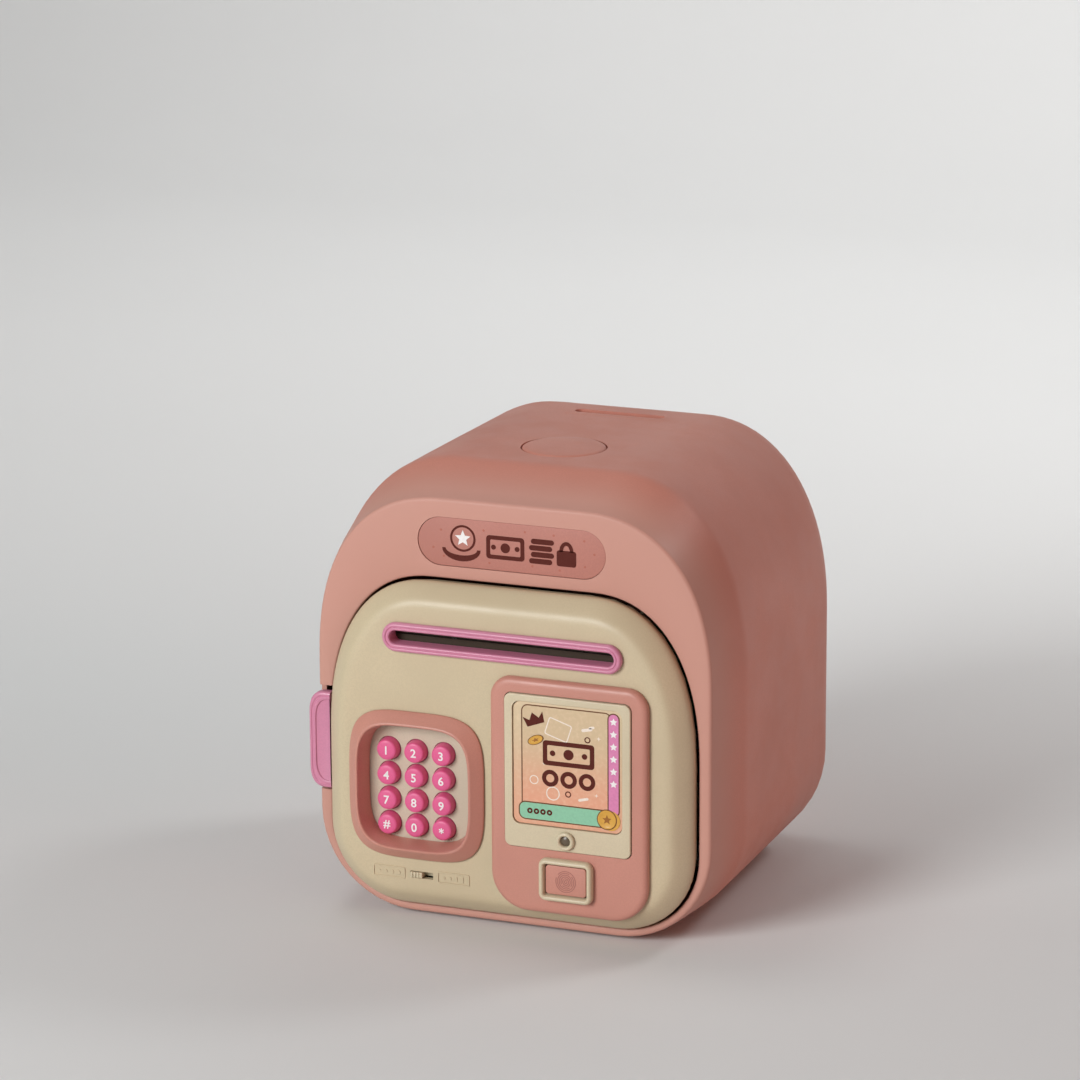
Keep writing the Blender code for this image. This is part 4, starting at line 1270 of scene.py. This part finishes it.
# %% [markdown]
# ## The voice switch and the pull tab
#
# Under the keypad a small slide switch sits between two moulded frames. Where a real bank names
# its two voices, four growing dots and four growing bars stand in the frames. The thumb piece
# has three grooves for grip, and a wide slider behind it that covers most of the slot.

# %% Voice switch
knob_x = middle("switch_knob")[0]
knob_face, knob_z = cad("switch_knob")[0].y, (SWITCH_Z - 1, SWITCH_Z + 1)
SLIDER_FRONT, SLIDER_BACK, GROOVE = -6.0, -5.0, 0.25
grooves = [block((knob_x + dx - GROOVE, knob_x + dx + GROOVE), (-12, -9.45), (10, 30))
           for dx in (-1.2, 0, 1.2)]
knob = joined([block((knob_x - 2.3, knob_x + 2.3), (knob_face, SLIDER_FRONT), knob_z, 0.2),
               block((knob_x - 5.5, knob_x + 5.5), (SLIDER_FRONT, SLIDER_BACK), knob_z, 0.1)])
piece("switch_thumb", knob, "switch_knob", pale_cream, ["switch_knob"],
      cuts=[joined(grooves)])
labels = [print_ring(rounded(cx, SWITCH_Z, 6.3, 2.2, 0.7, 4), rounded(cx, SWITCH_Z, 5.85, 1.75, 0.4, 4),
                     DOOR_FACE, 0.3) for cx in (-44.9, -19.7)]
for i in range(4):
    dot = disc(-48.6 + 2.4 * i, SWITCH_Z, 0.45 + 0.14 * i, 20)
    bar = rounded(-23.3 + 2.4 * i, SWITCH_Z, 0.35, 0.45 + 0.22 * i, 0.15, 3)
    labels += [print_shape(dot, DOOR_FACE, 0.25), print_shape(bar, DOOR_FACE, 0.25)]
piece("label_frames", joined(labels), "door", cream)
print(f"switch at x = {knob_x:.1f} mm, {len(labels)} moulded label shapes")

# %% [markdown]
# On the door's free edge a pink tab, stepped like a terrace, gives a finger something to pull.
# Its root is straight and tucked behind the door's rim, so the outline is rounded on one side.

# %% Pull tab


def tab_outline(inset=0.0):
    root, out = -DOOR_HALF - 0.3, TAB_LOW.x + inset
    low, top = TAB_LOW.z + inset, TAB_HIGH.z - inset
    reach = 6 - inset * 0.4
    points = [(root, low), (root, top)]
    points += corner(out + reach, top - 8, reach, 8, 90, 2.4, 10)
    points += corner(out + reach, low + 8, reach, 8, 180, 2.4, 10)
    return points


tab_rings = [(0.0, 1.0), (0.0, -1.3), (0.2, -1.9), (0.6, -2.25), (1.0, -2.3), (1.25, -2.05), (1.6, -2.05),
             (1.8, -2.4), (2.3, -2.5), (2.7, -2.35), (2.9, -1.9), (3.3, -1.8)]
piece("finger_tab", loft([(tab_outline(i), y) for i, y in tab_rings]), "door", candy,
      ["pull_tab"])
print(f"pull tab {TAB_HIGH.z - TAB_LOW.z:.1f} mm tall")

# %% [markdown]
# ## Finishes for the working pieces
#
# Everything that the working model already gets right keeps its shape, and only takes its
# finish: floor, chute, feeder, rollers, gears, brackets and boards.

# %% Dress the working pieces
FINISHES = {
    cream: ["door_inner_cover", "feeder_frame", "cash_floor", "coin_chute", "button_bridge",
            "strike_plate"],
    salmon_painted_shade: ["battery_tray"],
    steel: ["hinge_bracket_lower", "hinge_bracket_upper", "hinge_pin_lower", "hinge_pin_upper",
            "feed_shaft", "pinch_shaft", "feed_motor", "lock_bolt"],
    rubber: ["foot_1", "foot_2", "foot_3", "foot_4", "feed_roller", "pinch_roller", "key_membrane"],
    board: ["main_board", "keypad_board"],
    acetal: ["feed_gear", "pinch_gear", "motor_pinion"],
    charcoal: ["speaker", "slide_switch", "button_switch"],
}
for finish, nodes in FINISHES.items():
    for node in nodes:
        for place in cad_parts[node].material_slots:
            place.material = finish
print(sum(len(nodes) for nodes in FINISHES.values()), "working nodes dressed")

# %% [markdown]
# ## Studio
#
# The bank stands on a seamless paper sweep: a floor that curves up into a backdrop, so that no
# horizon shows. It is one line of points, extruded sideways.

# %% Paper sweep
CURVE_START, CURVE_R, HALF_WIDTH = 1.2, 0.8, 4.0
paper = Paint("studio_paper", 0.9)
paper.feed("Base Color", paper.blend(paper.noise(0.4), (0.70, 0.705, 0.70), (0.74, 0.745, 0.74)))
sweep = bmesh.new()
profile = [(-2.5, 0.0), (CURVE_START, 0.0)]
profile += arc(CURVE_START, CURVE_R, CURVE_R, CURVE_R, range(-80, 1, 10))
profile.append((CURVE_START + CURVE_R, 4.0))
line = [sweep.verts.new((-HALF_WIDTH, y, z)) for y, z in profile]
spine = [sweep.edges.new(pair) for pair in zip(line, line[1:])]
drawn = bmesh.ops.extrude_edge_only(sweep, edges=spine)["geom"]
moved = [part for part in drawn if isinstance(part, bmesh.types.BMVert)]
bmesh.ops.translate(sweep, vec=(2 * HALF_WIDTH, 0, 0), verts=moved)
bmesh.ops.recalc_face_normals(sweep, faces=sweep.faces)
sweep_mesh = bpy.data.meshes.new("studio_sweep")
sweep.to_mesh(sweep_mesh)
sweep.free()
floor = bpy.data.objects.new("studio_sweep", sweep_mesh)
bpy.context.collection.objects.link(floor)
floor.data.shade_smooth()
floor.data.materials.append(paper.material)
print("paper sweep of", len(sweep_mesh.polygons), "strips")

# %% [markdown]
# One big soft light stands in front, to the left and above. A weak warm one on the right keeps
# the side from going black, a small one behind draws the shoulder's edge, one lies over the roof,
# and the last lights the backdrop. Wide discs give the soft shadows of a light tent.

# %% Lights


def softbox(name, spot, aim, size, watts, colour=(1, 1, 1)):
    lamp = bpy.data.lights.new(name, "AREA")
    lamp.shape = "DISK"
    lamp.size = size
    lamp.energy = watts
    lamp.color = colour
    holder = bpy.data.objects.new(name, lamp)
    bpy.context.collection.objects.link(holder)
    holder.location = spot
    holder.rotation_euler = (Vector(aim) - Vector(spot)).to_track_quat("-Z", "Y").to_euler()


CENTRE = (0, 0, 0.08)
softbox("key_light", (-0.6, -1.5, 0.70), CENTRE, 0.8, 23, (0.98, 1.0, 1.0))
softbox("fill_light", (1.5, -0.8, 0.5), CENTRE, 1.0, 3.6, (1.0, 0.30, 0.19))
softbox("rim_light", (0.75, 0.7, 1.0), CENTRE, 0.3, 3.2)
softbox("roof_light", (-0.5, 0.2, 1.6), CENTRE, 0.6, 3.2)
softbox("backdrop_light", (0, 0.5, 1.5), (0, 2.0, 1.0), 0.8, 24)
world = bpy.data.worlds.new("studio")
world.use_nodes = True
surroundings = world.node_tree.nodes["Background"]
surroundings.inputs["Color"].default_value = (0.90, 0.87, 0.85, 1)
surroundings.inputs["Strength"].default_value = 0.12
bpy.context.scene.world = world
bpy.context.scene.view_settings.view_transform = "Standard"
print(len(bpy.data.lights), "lights")

# %% [markdown]
# The camera stands to the right of the bank and a little above, far back with a long lens, so the
# sides stay nearly parallel as in a catalogue picture.

# %% Camera
AZIMUTH, ELEVATION, ROLL = math.radians(21.7), math.radians(15.07), math.radians(-0.31)
DISTANCE = 1.7
away = Vector((math.sin(AZIMUTH) * math.cos(ELEVATION), -math.cos(AZIMUTH) * math.cos(ELEVATION),
               math.sin(ELEVATION)))
aim = TO_BANK @ Vector((11.1, 0, 145.0))
camera = bpy.data.objects.new("camera", bpy.data.cameras.new("camera"))
bpy.context.collection.objects.link(camera)
camera.location = aim + away * DISTANCE
facing = away.to_track_quat("Z", "Y").to_matrix() @ Matrix.Rotation(ROLL, 3, "Z")
camera.rotation_euler = facing.to_euler()
camera.data.sensor_width = 36.0
camera.data.lens = 160.2
camera.data.clip_start = 0.05
bpy.context.scene.camera = camera
print("camera at", [round(v, 2) for v in camera.location])

# %% [markdown]
# Last, the view layer is updated, so that every piece stands at its place.

# %% Update the scene
bpy.context.view_layer.update()
